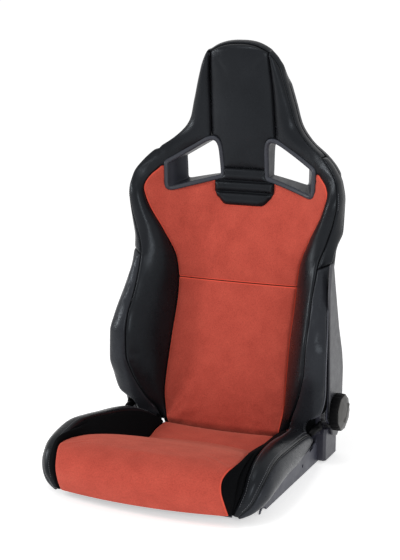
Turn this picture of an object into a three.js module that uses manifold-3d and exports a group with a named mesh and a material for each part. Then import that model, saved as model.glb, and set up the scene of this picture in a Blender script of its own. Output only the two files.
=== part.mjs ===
// Reclining sports seat, modelled in millimetres: +Z up, the seat faces -Y, +X is its outer side.
// The origin lies on the floor plane, under the middle of the seat's box.
import * as THREE from "three";
import { mergeVertices } from "three/addons/utils/BufferGeometryUtils.js";
import Module from "manifold-3d";

const wasm = await Module();
wasm.setup();

// ---------------------------------------------------------------- driving dimensions
const GAP = 0.3; // clearance kept between touching pieces
const COVER = 9; // cover and its bonded padding
const FOAM = 26; // foam behind the middle of the backrest
const SHELL = 4; // moulded back shell wall
const SEAM = 0.9; // half the gap along a sewn seam

const PIVOT = { y: 195, z: 115 }; // recline axis, along X
const SIDE_X = 235; // outer face of the side plates
const PLATE = 3; // side plate thickness
const BRACKET_X = 236; // inner face of the lower recliner bracket
const ARM_X = 252.4; // inner face of the upper recliner arm
const COVER_X = 256.4; // inner face of the grey recliner cover
const KNOB_X = 264; // inner face of the recline knob
const KNOB_R = 45;

const SHELL_HALF = 247; // half-width of the back shell behind the side panels
const SHELL_LIP = 251; // half-width of its front lip, below the waist
const BACK_SPLIT_Z = 391; // horizontal seam of the backrest insert
const WAIST_Z = 452; // T-seam between the lower side panel and the shoulder strip
const WING_Z = 655; // the bolster ends and the head wing begins
const HEAD_TOP = { seam: 935, ridge: 927 }; // top of the head wings, at their two edges
const CROWN_Z = 957.5; // top of the head panel
const HEAD_SEAM = 81; // half-width of the head panel at its foot
const NECK = { half: 73, top: 640, foot: 575 };
const FOOT_WIDTH = 30; // inward foot of the side plate

// Corners of a belt opening's bezel, in the front view, for the +X side.
const BELT = [[50, 631], [54, 752], [192, 669], [190, 593]];
const BELT_ROUND = [14, 34, 14, 20];
const BEZEL = 11; // width of the bezel flange
const TUNNEL_LEAN = { x: 26, z: 15 }; // shift of the funnel's outer side between its mouth and its tail

// ---------------------------------------------------------------- small helpers
const V = (x, y, z) => new THREE.Vector3(x, y, z);
const mix = (a, b, t) => a + (b - a) * t;
const clamp01 = (t) => Math.min(1, Math.max(0, t));
const smooth = (a, b, x) => {
  const t = clamp01((x - a) / (b - a));
  return t * t * (3 - 2 * t);
};

// A smooth function through [position, value] pairs, level with its neighbours (no overshoot).
function through(pairs) {
  const n = pairs.length;
  const slope = pairs.slice(1).map((p, i) => (p[1] - pairs[i][1]) / (p[0] - pairs[i][0]));
  const tangent = pairs.map((p, i) => {
    if (i === 0) return slope[0];
    if (i === n - 1) return slope[n - 2];
    const [a, b] = [slope[i - 1], slope[i]];
    return a * b <= 0 ? 0 : (2 * a * b) / (a + b);
  });
  return (x) => {
    let i = 0;
    while (i < n - 2 && x > pairs[i + 1][0]) i++;
    const h = pairs[i + 1][0] - pairs[i][0];
    const t = clamp01((x - pairs[i][0]) / h);
    const [a, b] = [pairs[i][1], pairs[i + 1][1]];
    return (
      a * (1 + 2 * t) * (1 - t) ** 2 +
      b * t * t * (3 - 2 * t) +
      h * (tangent[i] * t * (1 - t) ** 2 - tangent[i + 1] * t * t * (1 - t))
    );
  };
}

// A closed body from triangles given as lists of Vector3 and index triples.
function bodyFrom(points, faces) {
  const geometry = new THREE.BufferGeometry();
  geometry.setAttribute("position", new THREE.Float32BufferAttribute(points.flatMap((p) => p.toArray()), 3));
  geometry.setIndex(faces.flat());
  return outward(geometry);
}

// Turns the faces of a closed geometry outwards.
function outward(geometry) {
  const p = geometry.getAttribute("position");
  const index = geometry.getIndex();
  let volume = 0;
  const [a, b, c] = [V(), V(), V()];
  for (let i = 0; i < index.count; i += 3) {
    a.fromBufferAttribute(p, index.getX(i));
    b.fromBufferAttribute(p, index.getX(i + 1));
    c.fromBufferAttribute(p, index.getX(i + 2));
    volume += a.dot(b.cross(c));
  }
  if (volume < 0) {
    for (let i = 0; i < index.count; i += 3) {
      const keep = index.getX(i + 1);
      index.setX(i + 1, index.getX(i + 2));
      index.setX(i + 2, keep);
    }
  }
  return geometry;
}

// A slab between two surfaces front(u, v) and back(u, v), with a rim round its four edges.
function slab(front, back, nu, nv) {
  const points = [];
  const faces = [];
  const at = (side, i, j) => side * (nu + 1) * (nv + 1) + j * (nu + 1) + i;
  for (const surface of [front, back])
    for (let j = 0; j <= nv; j++) for (let i = 0; i <= nu; i++) points.push(surface(i / nu, j / nv));
  const quad = (a, b, c, d) => faces.push([a, b, c], [a, c, d]);
  for (let j = 0; j < nv; j++)
    for (let i = 0; i < nu; i++) {
      quad(at(0, i, j), at(0, i + 1, j), at(0, i + 1, j + 1), at(0, i, j + 1));
      quad(at(1, i, j + 1), at(1, i + 1, j + 1), at(1, i + 1, j), at(1, i, j));
    }
  for (let i = 0; i < nu; i++) {
    quad(at(1, i, 0), at(1, i + 1, 0), at(0, i + 1, 0), at(0, i, 0));
    quad(at(0, i, nv), at(0, i + 1, nv), at(1, i + 1, nv), at(1, i, nv));
  }
  for (let j = 0; j < nv; j++) {
    quad(at(0, 0, j), at(0, 0, j + 1), at(1, 0, j + 1), at(1, 0, j));
    quad(at(1, nu, j), at(1, nu, j + 1), at(0, nu, j + 1), at(0, nu, j));
  }
  return bodyFrom(points, faces);
}

// A closed loft through rings of points: ring(v) for v from 0 to 1, capped from each ring's middle.
function loft(ring, steps) {
  const rows = Array.from({ length: steps + 1 }, (_, j) => ring(j / steps));
  const n = rows[0].length;
  const points = rows.flat();
  const faces = [];
  for (let j = 0; j < steps; j++)
    for (let i = 0; i < n; i++) {
      const k = (i + 1) % n;
      faces.push([j * n + i, j * n + k, (j + 1) * n + k], [j * n + i, (j + 1) * n + k, (j + 1) * n + i]);
    }
  for (const [row, base, flip] of [[rows[0], 0, true], [rows[steps], steps * n, false]]) {
    const middle = row.reduce((sum, p) => sum.add(p), V(0, 0, 0)).divideScalar(n);
    points.push(middle);
    for (let i = 0; i < n; i++) {
      const [a, b] = [base + i, base + ((i + 1) % n)];
      faces.push(flip ? [points.length - 1, b, a] : [points.length - 1, a, b]);
    }
  }
  return bodyFrom(points, faces);
}

// A closed tube that runs back into itself through rings of points.
function ringLoop(rings) {
  const n = rings[0].length;
  const faces = [];
  rings.forEach((_, j) => {
    const next = ((j + 1) % rings.length) * n;
    for (let i = 0; i < n; i++) {
      const k = (i + 1) % n;
      faces.push([j * n + i, j * n + k, next + k], [j * n + i, next + k, next + i]);
    }
  });
  return bodyFrom(rings.flat(), faces);
}

// ---------------------------------------------------------------- booleans
function bare(geometry) {
  const copy = geometry.index ? geometry.clone() : geometry;
  for (const name of ["normal", "uv"]) copy.deleteAttribute(name);
  return mergeVertices(copy, 1e-4);
}
function toSolid(geometry) {
  const merged = bare(geometry);
  return new wasm.Manifold(
    new wasm.Mesh({
      numProp: 3,
      vertProperties: new Float32Array(merged.getAttribute("position").array),
      triVerts: new Uint32Array(merged.getIndex().array),
    }),
  );
}
function toGeometry(solid) {
  const mesh = solid.getMesh();
  const geometry = new THREE.BufferGeometry();
  geometry.setAttribute("position", new THREE.BufferAttribute(new Float32Array(mesh.vertProperties), 3));
  geometry.setIndex(new THREE.BufferAttribute(new Uint32Array(mesh.triVerts), 1));
  return geometry;
}
const cut = (body, ...tools) =>
  toGeometry(tools.reduce((solid, tool) => solid.subtract(toSolid(tool)), toSolid(body)));
const join = (body, ...others) =>
  toGeometry(others.reduce((solid, other) => solid.add(toSolid(other)), toSolid(body)));
const common = (body, tool) => toGeometry(toSolid(body).intersect(toSolid(tool)));

// The largest connected body of a cut, when a cut leaves slivers.
function largest(geometry) {
  const bodies = toSolid(geometry).decompose();
  bodies.sort((a, b) => b.volume() - a.volume());
  return toGeometry(bodies[0]);
}

// The same body on the other side of the seat.
function mirrored(geometry) {
  const copy = bare(geometry.clone());
  copy.scale(-1, 1, 1);
  return outward(copy);
}

// ---------------------------------------------------------------- outlines and prisms
// A closed outline with a rounded corner at each point.
function rounded(points, radii) {
  const shape = new THREE.Shape();
  const n = points.length;
  points.forEach((p, i) => {
    const corner = new THREE.Vector2(...p);
    const before = new THREE.Vector2(...points[(i + n - 1) % n]).sub(corner);
    const after = new THREE.Vector2(...points[(i + 1) % n]).sub(corner);
    const radius = Array.isArray(radii) ? radii[i] : radii;
    const half = before.angleTo(after) / 2;
    const reach = Math.min(radius / Math.tan(half), before.length() * 0.48, after.length() * 0.48);
    const start = corner.clone().add(before.setLength(reach));
    const end = corner.clone().add(after.setLength(reach));
    if (i === 0) shape.moveTo(start.x, start.y);
    else shape.lineTo(start.x, start.y);
    if (reach > 0.01) shape.quadraticCurveTo(corner.x, corner.y, end.x, end.y);
  });
  shape.closePath();
  return shape;
}
// Extrudes an outline drawn as (x, z), from y0 to y1.
function prismY(shape, y0, y1, segments = 3) {
  const settings = { depth: y1 - y0, bevelEnabled: false, curveSegments: segments };
  const geometry = new THREE.ExtrudeGeometry(shape, settings);
  return geometry.rotateX(Math.PI / 2).translate(0, y1, 0);
}
// Turns an extrusion of an outline drawn as (y, z) so that it runs along X.
const acrossX = (geometry) => geometry.rotateY(Math.PI / 2).rotateX(Math.PI / 2);
function prismX(shape, x0, x1, segments = 3) {
  const settings = { depth: x1 - x0, bevelEnabled: false, curveSegments: segments };
  const geometry = new THREE.ExtrudeGeometry(shape, settings);
  return acrossX(geometry).translate(x0, 0, 0);
}
function box(x0, x1, y0, y1, z0, z1) {
  const middle = [(x0 + x1) / 2, (y0 + y1) / 2, (z0 + z1) / 2];
  return new THREE.BoxGeometry(x1 - x0, y1 - y0, z1 - z0).translate(...middle);
}
// A round bar or disc along X.
function barX(radius, x0, x1, y, z, sides = 24) {
  const geometry = new THREE.CylinderGeometry(radius, radius, x1 - x0, sides);
  return geometry.rotateZ(Math.PI / 2).translate((x0 + x1) / 2, y, z);
}
// A round tube or wire along a smooth path.
function rod(points, radius, steps, sides = 8, tension = "centripetal") {
  const path = new THREE.CatmullRomCurve3(points, false, tension);
  const section = new THREE.Shape(
    Array.from({ length: sides }, (_, i) => {
      const a = (2 * Math.PI * i) / sides;
      return new THREE.Vector2(radius * Math.cos(a), radius * Math.sin(a));
    }),
  );
  return new THREE.ExtrudeGeometry(section, { steps, extrudePath: path, bevelEnabled: false });
}

// ---------------------------------------------------------------- backrest curves, all functions of height
// Centre line of the front surface.
const centreY = through([
  [62, 140], [155, 153], [250, 186], [391, 236], [520, 267], [600, 283],
  [640, 286], [700, 277], [747, 265], [840, 252], [934, 238], [958, 252],
]);
// Seam between the insert and the bolster.
const seamX = through([
  [62, 146], [136, 155], [312, 151], [392, 152], [433, 157], [503, 184], [581, 222], [612, 229],
  [632, 222], [655, 200],
]);
const seamY = through([
  [62, 146], [136, 159], [250, 192], [391, 239], [433, 240], [503, 225], [545, 215], [605, 208],
  [623, 216], [655, 240],
]);
// Piped ridge where the front of the bolster turns into its side.
const ridgeX = through([
  [62, 160], [85, 170], [146, 198], [180, 211], [230, 222], [315, 224], [392, 220], [454, 223],
  [513, 241], [559, 255], [600, 261], [641, 254], [671, 235], [697, 209], [729, 164], [767, 134],
  [811, 122], [897, 98], [925, 86], [940, 69],
]);
const ridgeY = through([
  [62, 156], [85, 146], [114, 122], [146, 107], [180, 95], [220, 87], [274, 89], [315, 100], [352, 122],
  [392, 143], [454, 173], [513, 189], [600, 195], [641, 205], [697, 237], [729, 256], [767, 266],
  [811, 262], [897, 252], [940, 250],
]);
// Outer edge of the side panels, where the back shell begins.
const edgeX = through([
  [62, 205], [103, 222], [130, 256], [169, 267], [211, 272], [275, 272], [311, 268], [389, 255],
  [440, 250], [489, 254], [533, 264], [600, 265], [641, 257], [671, 239], [697, 213], [729, 168],
  [767, 138], [811, 126], [897, 102], [925, 90], [940, 73],
]);
const edgeY = through([
  [62, 134], [103, 121], [169, 111], [211, 99], [275, 102], [311, 117], [389, 161], [457, 199],
  [533, 228], [600, 238], [641, 244], [697, 262], [729, 277], [767, 287], [811, 284], [897, 272],
  [940, 268],
]);
// Centre line of the back shell's outer face.
const rearY = through([
  [75, 250], [120, 266], [250, 292], [400, 308], [550, 321], [650, 326], [780, 326], [850, 324],
  [900, 317], [935, 300], [958, 272],
]);
const headX = through([[640, 84], [747, HEAD_SEAM], [840, 79], [934, 73], [960, 70]]);
const headPleatY = through([[700, 280], [747, 272], [840, 259], [934, 245], [960, 262]]);

// Front surface of the shoulders and wings, at distance x from the middle.
function shoulderY(x, z) {
  const reach = Math.min(1, Math.abs(x) / ridgeX(z));
  return mix(centreY(z), ridgeY(z), reach ** 2.4);
}
const headSeamY = (z) => mix(shoulderY(headX(z), z), headPleatY(z), smooth(690, 750, z));

// A column is a point of the section for each height; these run from the middle outwards.
const column = (x, y) => (z) => V(x(z), y(z), z);
const SEAM_LINE = column(seamX, seamY);
const RIDGE_LINE = column(ridgeX, ridgeY);
const EDGE_LINE = column(edgeX, edgeY);
const HEAD_LINE = column(headX, headSeamY);

// Backward unit normal of a section from a to b, in the horizontal plane.
function backNormal(a, b) {
  return V(a.y - b.y, b.x - a.x, 0).normalize();
}
// Moves point p inwards by a depth, along the mitre of the sections on its two sides.
function mitre(p, n1, n2, depth) {
  const sum = n1.clone().add(n2);
  return p.clone().addScaledVector(sum, depth / (1 + n1.dot(n2)));
}
const REAR = V(0, 1, 0);
// Inner counterparts of the columns, at a depth below the surface.
function insideSeam(z, depth) {
  return mitre(SEAM_LINE(z), REAR, backNormal(SEAM_LINE(z), RIDGE_LINE(z)), depth);
}
function insideHead(z, depth) {
  return HEAD_LINE(z).addScaledVector(REAR, depth);
}
function insideRidge(z, depth, inner = SEAM_LINE) {
  const ridge = RIDGE_LINE(z);
  return mitre(ridge, backNormal(inner(z), ridge), backNormal(ridge, EDGE_LINE(z)), depth);
}
function insideEdge(z, depth) {
  return EDGE_LINE(z).addScaledVector(backNormal(RIDGE_LINE(z), EDGE_LINE(z)), depth);
}

// Heights of the sloping lower edge of the backrest: seam, ridge and outer edge.
const FOOT = { seam: 64, ridge: 87, edge: 104 };

// ---------------------------------------------------------------- backrest upholstery
// Middle insert between two heights, at a depth below its surface.
function insertPoint(u, z, depth, inset) {
  const half = insideSeam(z, depth).x - inset;
  const power = mix(2, 3, smooth(391, 560, z));
  const y = mix(centreY(z), seamY(z), Math.abs(u) ** power);
  return V(u * half, y + depth, z);
}
function insert(z0, z1, steps) {
  const face = (depth) => (u, v) => insertPoint(2 * u - 1, mix(z0, z1, v), depth, SEAM);
  return slab(face(0), face(COVER), 8, steps);
}

// Panel between two columns, with a crown; low and high give its end heights at both sides.
function panel(outerPair, innerPair, low, high, crown, nu, nv) {
  const face = (pair, swell) => (u, v) => {
    const z = mix(mix(low[0], high[0], v), mix(low[1], high[1], v), u);
    const a = pair[0](z);
    const b = pair[1](z);
    const inset = SEAM / a.distanceTo(b);
    const t = mix(inset, 1 - inset, u);
    const bulge = swell(z) * 4 * t * (1 - t);
    return a.clone().lerp(b, t).addScaledVector(backNormal(a, b), -bulge);
  };
  return slab(face(outerPair, crown), face(innerPair, (z) => crown(z) * 0.6), nu, nv);
}
function backBolster() {
  const inner = [(z) => insideSeam(z, COVER), (z) => insideRidge(z, COVER)];
  const crown = (z) => 6 * smooth(62, 200, z) + 6 * smooth(400, 480, z) * (1 - smooth(560, 640, z));
  const top = WING_Z - SEAM;
  return panel([SEAM_LINE, RIDGE_LINE], inner, [FOOT.seam, FOOT.ridge], [top, top], crown, 4, 20);
}
function sidePanel(z0, z1, steps, crown) {
  const inner = [(z) => insideRidge(z, COVER), (z) => insideEdge(z, COVER)];
  return panel([RIDGE_LINE, EDGE_LINE], inner, z0, z1, () => crown, 3, steps);
}
const lumbarSide = () => sidePanel([FOOT.ridge, FOOT.edge], [WAIST_Z - SEAM, WAIST_Z - SEAM], 14, 3);
const shoulderSide = () => sidePanel([WAIST_Z + SEAM, WAIST_Z + SEAM], [WING_Z - SEAM, WING_Z - SEAM], 8, 3);

// Front surface of the head wing, from the head seam (t = 0) to the piped edge (t = 1).
function wingPoint(t, z) {
  const x = mix(headX(z), ridgeX(z), t);
  const cheek = mix(headSeamY(z), ridgeY(z), t) - 9 * 4 * t * (1 - t);
  return V(x, mix(shoulderY(x, z), cheek, smooth(690, 760, z)), z);
}
// The same surface at a depth below the front.
function wingInside(t, z, depth) {
  const p = wingPoint(t, z);
  const rim = insideRidge(z, depth, HEAD_LINE).sub(RIDGE_LINE(z));
  return p.add(V(mix(0, rim.x, t), mix(depth, rim.y, t), 0));
}
function headWing() {
  const place = (u, v) => {
    const z = mix(WING_Z + SEAM, mix(HEAD_TOP.seam, HEAD_TOP.ridge, u), v);
    const inset = SEAM / (ridgeX(z) - headX(z));
    return [mix(inset, 1 - inset, u), z];
  };
  return slab(
    (u, v) => wingPoint(...place(u, v)),
    (u, v) => wingInside(...place(u, v), COVER),
    6,
    14,
  );
}
// Side strip of the shoulder and head, between the piped edge and the back shell.
function headSide() {
  const inner = [(z) => insideRidge(z, COVER, HEAD_LINE), (z) => insideEdge(z, COVER)];
  const [low, high] = [WING_Z + SEAM, HEAD_TOP.ridge];
  return panel([RIDGE_LINE, EDGE_LINE], inner, [low, low], [high, high], () => 0, 2, 14);
}
const crownZ = (x) => CROWN_Z - 20 * (Math.abs(x) / 73) ** 2.6;
function headPanel() {
  const face = (depth) => (u, v) => {
    const across = 2 * u - 1;
    const top = crownZ(across * headX(HEAD_TOP.seam));
    const z = mix(NECK.top, top, v);
    const y = mix(centreY(z), headSeamY(z), across ** 2);
    return V(across * (headX(z) - 2.4 * SEAM), y + depth, z);
  };
  return slab(face(0), face(COVER), 6, 14);
}

// ---------------------------------------------------------------- belt openings
const beltOutline = (grow = 0) => {
  const middle = BELT.reduce(([x, z], p) => [x + p[0] / BELT.length, z + p[1] / BELT.length], [0, 0]);
  const points = BELT.map(([x, z]) => {
    const out = new THREE.Vector2(x - middle[0], z - middle[1]);
    return [x + (out.x / out.length()) * grow, z + (out.y / out.length()) * grow];
  });
  return rounded(points, BELT_ROUND);
};
// Cutter for everything that the bezel passes through.
const beltCutter = (grow = GAP + 0.4) => prismY(beltOutline(grow), 150, 400, 3);

// Bezel: a flange that follows the front surface, and a funnel that leans outwards-in to the back.
function beltBezel() {
  const outline = beltOutline().getPoints(3);
  if (outline[0].distanceTo(outline[outline.length - 1]) < 0.01) outline.pop();
  const n = outline.length;
  const turn = THREE.ShapeUtils.isClockWise(outline) ? -1 : 1;
  const inset = (i, distance) => {
    const before = outline[(i + n - 1) % n];
    const after = outline[(i + 1) % n];
    const along = after.clone().sub(before).normalize();
    return V(outline[i].x - turn * along.y * distance, 0, outline[i].y + turn * along.x * distance);
  };
  const lean = (p, depth) => {
    const share = clamp01((p.x - 60) / 120);
    return V(p.x - TUNNEL_LEAN.x * share * depth, p.y, p.z + TUNNEL_LEAN.z * share * depth);
  };
  const at = (p, y) => V(p.x, y, p.z);
  const rings = outline.map((_, i) => {
    const rim = inset(i, 0);
    const y = shoulderY(rim.x, rim.z);
    const lip = inset(i, BEZEL - 3);
    const mouth = inset(i, BEZEL);
    const tail = lean(mouth, 1);
    const skin = lean(lip, 1);
    const tailY = tunnelEnd(tail.x, tail.z);
    return [
      at(rim, y + 4), at(rim, y - 1), at(inset(i, 2.5), y - 3), at(lip, y - 3), at(mouth, y + 1),
      at(tail, tailY), at(skin, tailY), at(lip, y + 4),
    ];
  });
  return ringLoop(rings);
}

// ---------------------------------------------------------------- back shell
// The back is rounder at the shoulders than at the hips.
const shellPower = (z) => mix(0.95, 1.45, smooth(450, 600, z));
// Outer face of the shell at height z: w runs from the edge (0) to the middle of the back (1).
function shellPoint(w, z, depth = 0) {
  const start = mix(Math.min(edgeX(z), SHELL_LIP), edgeX(z), smooth(470, 530, z));
  const side = Math.min(start, SHELL_HALF);
  const front = edgeY(z) + COVER * Math.max(0, backNormal(RIDGE_LINE(z), EDGE_LINE(z)).y) + 3;
  const flank = z > WAIST_Z ? 0 : smooth(WAIST_Z, 380, z);
  // Below the waist the flank first runs straight back from the edge, then rounds into the back.
  const corner = mix(front + 10, Math.max(front + 10, 168), flank);
  const rear = rearY(z);
  const bend = clamp01((w - 0.22) / 0.78);
  const lead = clamp01(w / 0.22);
  const a = bend * (Math.PI / 2);
  const x = w < 0.22 ? mix(start, side, lead) : side * Math.cos(a) ** 0.9;
  const y = w < 0.22 ? mix(front, corner, lead) : mix(corner, rear, Math.sin(a) ** shellPower(z));
  const inward = depth === 0 ? 0 : 1;
  const nx = -Math.cos(a) * inward;
  const ny = -Math.sin(a) * inward;
  return V(x + nx * depth, y + ny * depth * (w < 0.22 ? 0 : 1), z);
}
const tunnelEnd = (x, z) => {
  const ratio = clamp01(Math.abs(x) / edgeX(z));
  const a = Math.acos(ratio ** (1 / 0.9));
  return mix(edgeY(z), rearY(z), Math.sin(a) ** shellPower(z)) - 2;
};
const SHELL_FOOT = { side: 168, middle: 84 };
function backShell() {
  const face = (depth) => (u, v) => {
    const w = 1 - Math.abs(2 * u - 1);
    const foot = mix(SHELL_FOOT.side, SHELL_FOOT.middle, smooth(0.5, 0.8, w));
    const reach = shellPoint(w, HEAD_TOP.ridge).x;
    const top = reach > 73 ? mix(937, HEAD_TOP.ridge, (reach - 73) / 15) : crownZ(reach) - 1;
    const p = shellPoint(w, mix(foot, top, v), depth);
    return V(p.x * Math.sign(2 * u - 1 || 1), p.y, p.z);
  };
  return slab(face(0), face(SHELL), 16, 15);
}

// ---------------------------------------------------------------- neck pad
const neckOutline = (grow = 0) => {
  const half = [[58, NECK.top], [58, 628], [NECK.half + 4, 621], [66, 594], [46, NECK.foot]];
  const right = half.map(([x, z]) => [x + grow, z - (z < 600 ? grow : 0) + (z >= NECK.top ? grow : 0)]);
  const left = right.map(([x, z]) => [-x, z]).reverse();
  return rounded([...right, ...left], 14);
};
// Three padded bands, one above the other.
function neckPad() {
  const [low, high] = [NECK.foot - 2, NECK.top + 2];
  const face = (depth) => (u, v) => {
    const x = (2 * u - 1) * (NECK.half + 8);
    const z = mix(low, high, v);
    const puff = 7 * Math.abs(Math.sin(3 * Math.PI * v)) ** 0.6;
    return V(x, mix(centreY(z), shoulderY(x, z), 0.9) - (depth ? 0 : puff) + depth, z);
  };
  const blank = slab(face(0), face(COVER), 6, 9);
  return largest(cut(common(blank, prismY(neckOutline(-0.4), 100, 400)), ...beltCutters()));
}
const beltCutters = () => [beltCutter(), mirrored(beltCutter())];
// Clears the insert for the neck pad and the head panel above it.
const neckCutter = () => join(prismY(neckOutline(), 100, 400), box(-62, 62, 100, 400, NECK.top - 20, 700));

// ---------------------------------------------------------------- foam of the backrest
const FOAM_TOP = 484; // the middle foam ends under the neck pad
// Height field of the insert's back face and of what lies behind it.
function behindInsert(x, z, depth) {
  const power = mix(2, 3, smooth(391, 560, z));
  return mix(centreY(z), seamY(z), (Math.abs(x) / insideSeam(z, COVER).x) ** power) + depth;
}
function backFoam() {
  const face = (deep) => (u, v) => {
    const z = mix(FOOT.seam + 18, FOAM_TOP, v);
    const x = (2 * u - 1) * Math.min(insideSeam(z, COVER).x - 12, 148);
    // Thinner at the foot, where the cross shaft passes behind it, and at the shoulders.
    const thick = FOAM * mix(0.55, 1, smooth(140, 230, z)) * mix(1, 0.7, smooth(400, 500, z));
    return V(x, behindInsert(x, z, COVER + 3.5 + (deep ? thick : 0)), z);
  };
  return slab(face(false), face(true), 6, 9);
}
// Foam inside a bolster, between the inner faces of its panels and the shell.
function bolsterFoam() {
  const [low, high] = [158, 628];
  return loft((v) => {
    const z = mix(low, high, v);
    const clear = COVER + 1.6;
    const seam = insideSeam(z, clear);
    const ridge = insideRidge(z, clear);
    const edge = insideEdge(z, clear).lerp(ridge, 0.7);
    const flank = Math.min(edge.x, SHELL_HALF) - 9;
    const back = V(flank, Math.max(edge.y + 6, 160 * (z < 360)), z);
    const inner = V(mix(seam.x, flank, 0.35), mix(seam.y, back.y, 0.35) + 6, z);
    return [seam.lerp(ridge.clone(), 0.12), insideSeam(z, clear).lerp(ridge, 0.55), ridge, edge, back, inner];
  }, 16);
}
function headFoam() {
  return slab(
    (u, v) => headFoamPoint(u, v, COVER + 9),
    (u, v) => headFoamPoint(u, v, COVER + 30),
    6,
    5,
  );
}
function headFoamPoint(u, v, depth) {
  const z = mix(770, 925, v);
  const across = 2 * u - 1;
  const half = ridgeX(z) - COVER - 18;
  const x = Math.abs(across) * half;
  const t = clamp01((x - headX(z)) / (ridgeX(z) - headX(z)));
  const middle = mix(centreY(z), headSeamY(z), clamp01(x / headX(z)) ** 2);
  const front = x > headX(z) ? wingPoint(t, z).y : middle;
  return V(across * half, front + depth, z);
}

// ---------------------------------------------------------------- backrest frame
// Welded tube frame between the foam and the shell.
const POST_R = 8;
const postX = through([[165, 185], [250, 178], [400, 172], [520, 165]]);
const postY = through([[165, 213], [250, 240], [400, 260], [520, 275]]);
function framePost() {
  const heights = [165, 250, 330, 400, 460, 520];
  return rod(heights.map((z) => V(postX(z), postY(z), z)), POST_R, 8, 8);
}
// Cross tube bent back in the middle, between the two posts.
function crossTube(z, setback) {
  const half = postX(z) - POST_R - 1;
  const point = (t) => V(half * t, postY(z) + setback * (1 - t * t), z);
  return rod([-1, -0.5, 0, 0.5, 1].map(point), POST_R - 1, 8, 8);
}
const barAcross = (radius, half, y, z) => barX(radius, -half, half, y, z, 12);
// Straight tube at the foot of the posts, welded between the two recliner arms.
const footTube = () => barAcross(6.5, ARM_X - GAP, 212, 156.2);

// ---------------------------------------------------------------- seat cushion curves
// They run from the rear (v = 0) to the front foot (v = 1).
const curve3 = (points) => {
  const curve = new THREE.CatmullRomCurve3(points.map((p) => V(...p)), false, "centripetal");
  return (v) => curve.getPoint(clamp01(v));
};
// Edge of the red insert.
const INSERT_LINE = curve3([
  [144, 137, 57], [142, 85, 56], [137, 25, 52], [148, -40, 69], [172, -122, 99], [196, -184, 114],
  [204, -240, 122], [200, -286, 123], [194, -311, 106], [194, -316, 82], [197, -303, 47],
  [198, -286, 18],
]);
// Stitched seam along the inner side of the bolster.
const BOLSTER_LINE = curve3([
  [180, 122, 76], [184, 80, 88], [187, 20, 96], [189, -50, 99], [190, -115, 96], [197, -170, 90],
  [204, -208, 77], [209, -238, 64], [211, -260, 52], [210, -272, 42], [207, -279, 31], [205, -283, 20],
]);
// Piping along the outer top edge.
const PIPING_LINE = curve3([
  [238, 112, 76], [242, 75, 90], [246, 25, 99], [253, -40, 109], [258, -110, 114], [257, -170, 109],
  [254, -212, 86], [247, -234, 61], [239, -248, 44], [230, -259, 31], [222, -262, 20], [215, -264, 13],
]);
// Lower edge of the outer side.
const SKIRT_LINE = curve3([
  [240, 116, 56], [243, 75, 49], [247, 20, 41], [253, -30, 42], [255, -90, 44], [252, -135, 37],
  [247, -172, 27], [241, -196, 22], [234, -212, 18], [227, -226, 14], [220, -238, 11], [213, -248, 9],
]);
const CUSHION_LINES = [INSERT_LINE, BOLSTER_LINE, PIPING_LINE, SKIRT_LINE];
// Crowns of the inner face, the top and the outer side.
const SWELL = [
  (t, v) => 5 * 4 * t * (1 - t) * (1 - smooth(0.18, 0.32, v)),
  (t, v) => 4 * t * (1 - t) * mix(15, 24 * t, smooth(0.2, 0.34, v)),
  (t) => 24 * 4 * t * (1 - t),
];

// Unit normal, pointing into the cushion, of the strip between lines i and i + 1.
function stripNormal(i, v) {
  const a = CUSHION_LINES[i](v);
  const across = CUSHION_LINES[i + 1](v).sub(a);
  const step = 0.01;
  const along = CUSHION_LINES[i](Math.min(1, v + step)).sub(CUSHION_LINES[i](Math.max(0, v - step)));
  along.add(CUSHION_LINES[i + 1](Math.min(1, v + step)).sub(CUSHION_LINES[i + 1](Math.max(0, v - step))));
  return across.cross(along).normalize();
}

// ---------------------------------------------------------------- seat cushion covers
const BOW = 21; // how far the front of the insert bows forward in the middle
const DIP = 3; // how far the insert sags in the middle
function cushionInsertPoint(u, v) {
  const edge = INSERT_LINE(v);
  const middle = 1 - u * u;
  const bow = BOW * middle * smooth(0.4, 0.7, v);
  const dip = DIP * middle * (1 - smooth(0.5, 0.7, v));
  return V(u * edge.x, edge.y - bow, edge.z - dip);
}
// Normal of the insert, pointing down and back into the cushion.
function insertNormal(v) {
  const step = 0.01;
  const along = INSERT_LINE(Math.min(1, v + step)).sub(INSERT_LINE(Math.max(0, v - step)));
  return V(0, along.z, -along.y).normalize().negate();
}
// Line i of the cushion at a depth inside it.
function cushionInside(i, v, depth) {
  const before = i === 0 ? insertNormal(v) : stripNormal(i - 1, v);
  const after = i === CUSHION_LINES.length - 1 ? before : stripNormal(i, v);
  return mitre(CUSHION_LINES[i](v), before, after, depth);
}
function seatInsert() {
  const inner = (u, v) => {
    const rim = cushionInside(0, v, COVER).sub(INSERT_LINE(v));
    const p = cushionInsertPoint(u, v);
    return p.add(V(Math.sign(u) * u * u * rim.x, rim.y, rim.z));
  };
  const shrink = (u, v) => (2 * u - 1) * (1 - SEAM / INSERT_LINE(v).x);
  return slab(
    (u, v) => cushionInsertPoint(shrink(u, v), v),
    (u, v) => inner(shrink(u, v), v),
    6,
    20,
  );
}
// Cover between lines i and i + 1.
function cushionStrip(i, nu, nv) {
  const face = (depth) => (u, v) => {
    const a = depth ? cushionInside(i, v, depth) : CUSHION_LINES[i](v);
    const b = depth ? cushionInside(i + 1, v, depth) : CUSHION_LINES[i + 1](v);
    const inset = Math.min(0.12, (2.2 * SEAM) / a.distanceTo(b));
    const t = mix(inset, 1 - inset, u);
    const swell = SWELL[i](t, v) * Math.min(1, a.distanceTo(b) / 60);
    return a.lerp(b, t).addScaledVector(stripNormal(i, v), -swell);
  };
  return slab(face(0), face(COVER), nu, nv);
}

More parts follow.
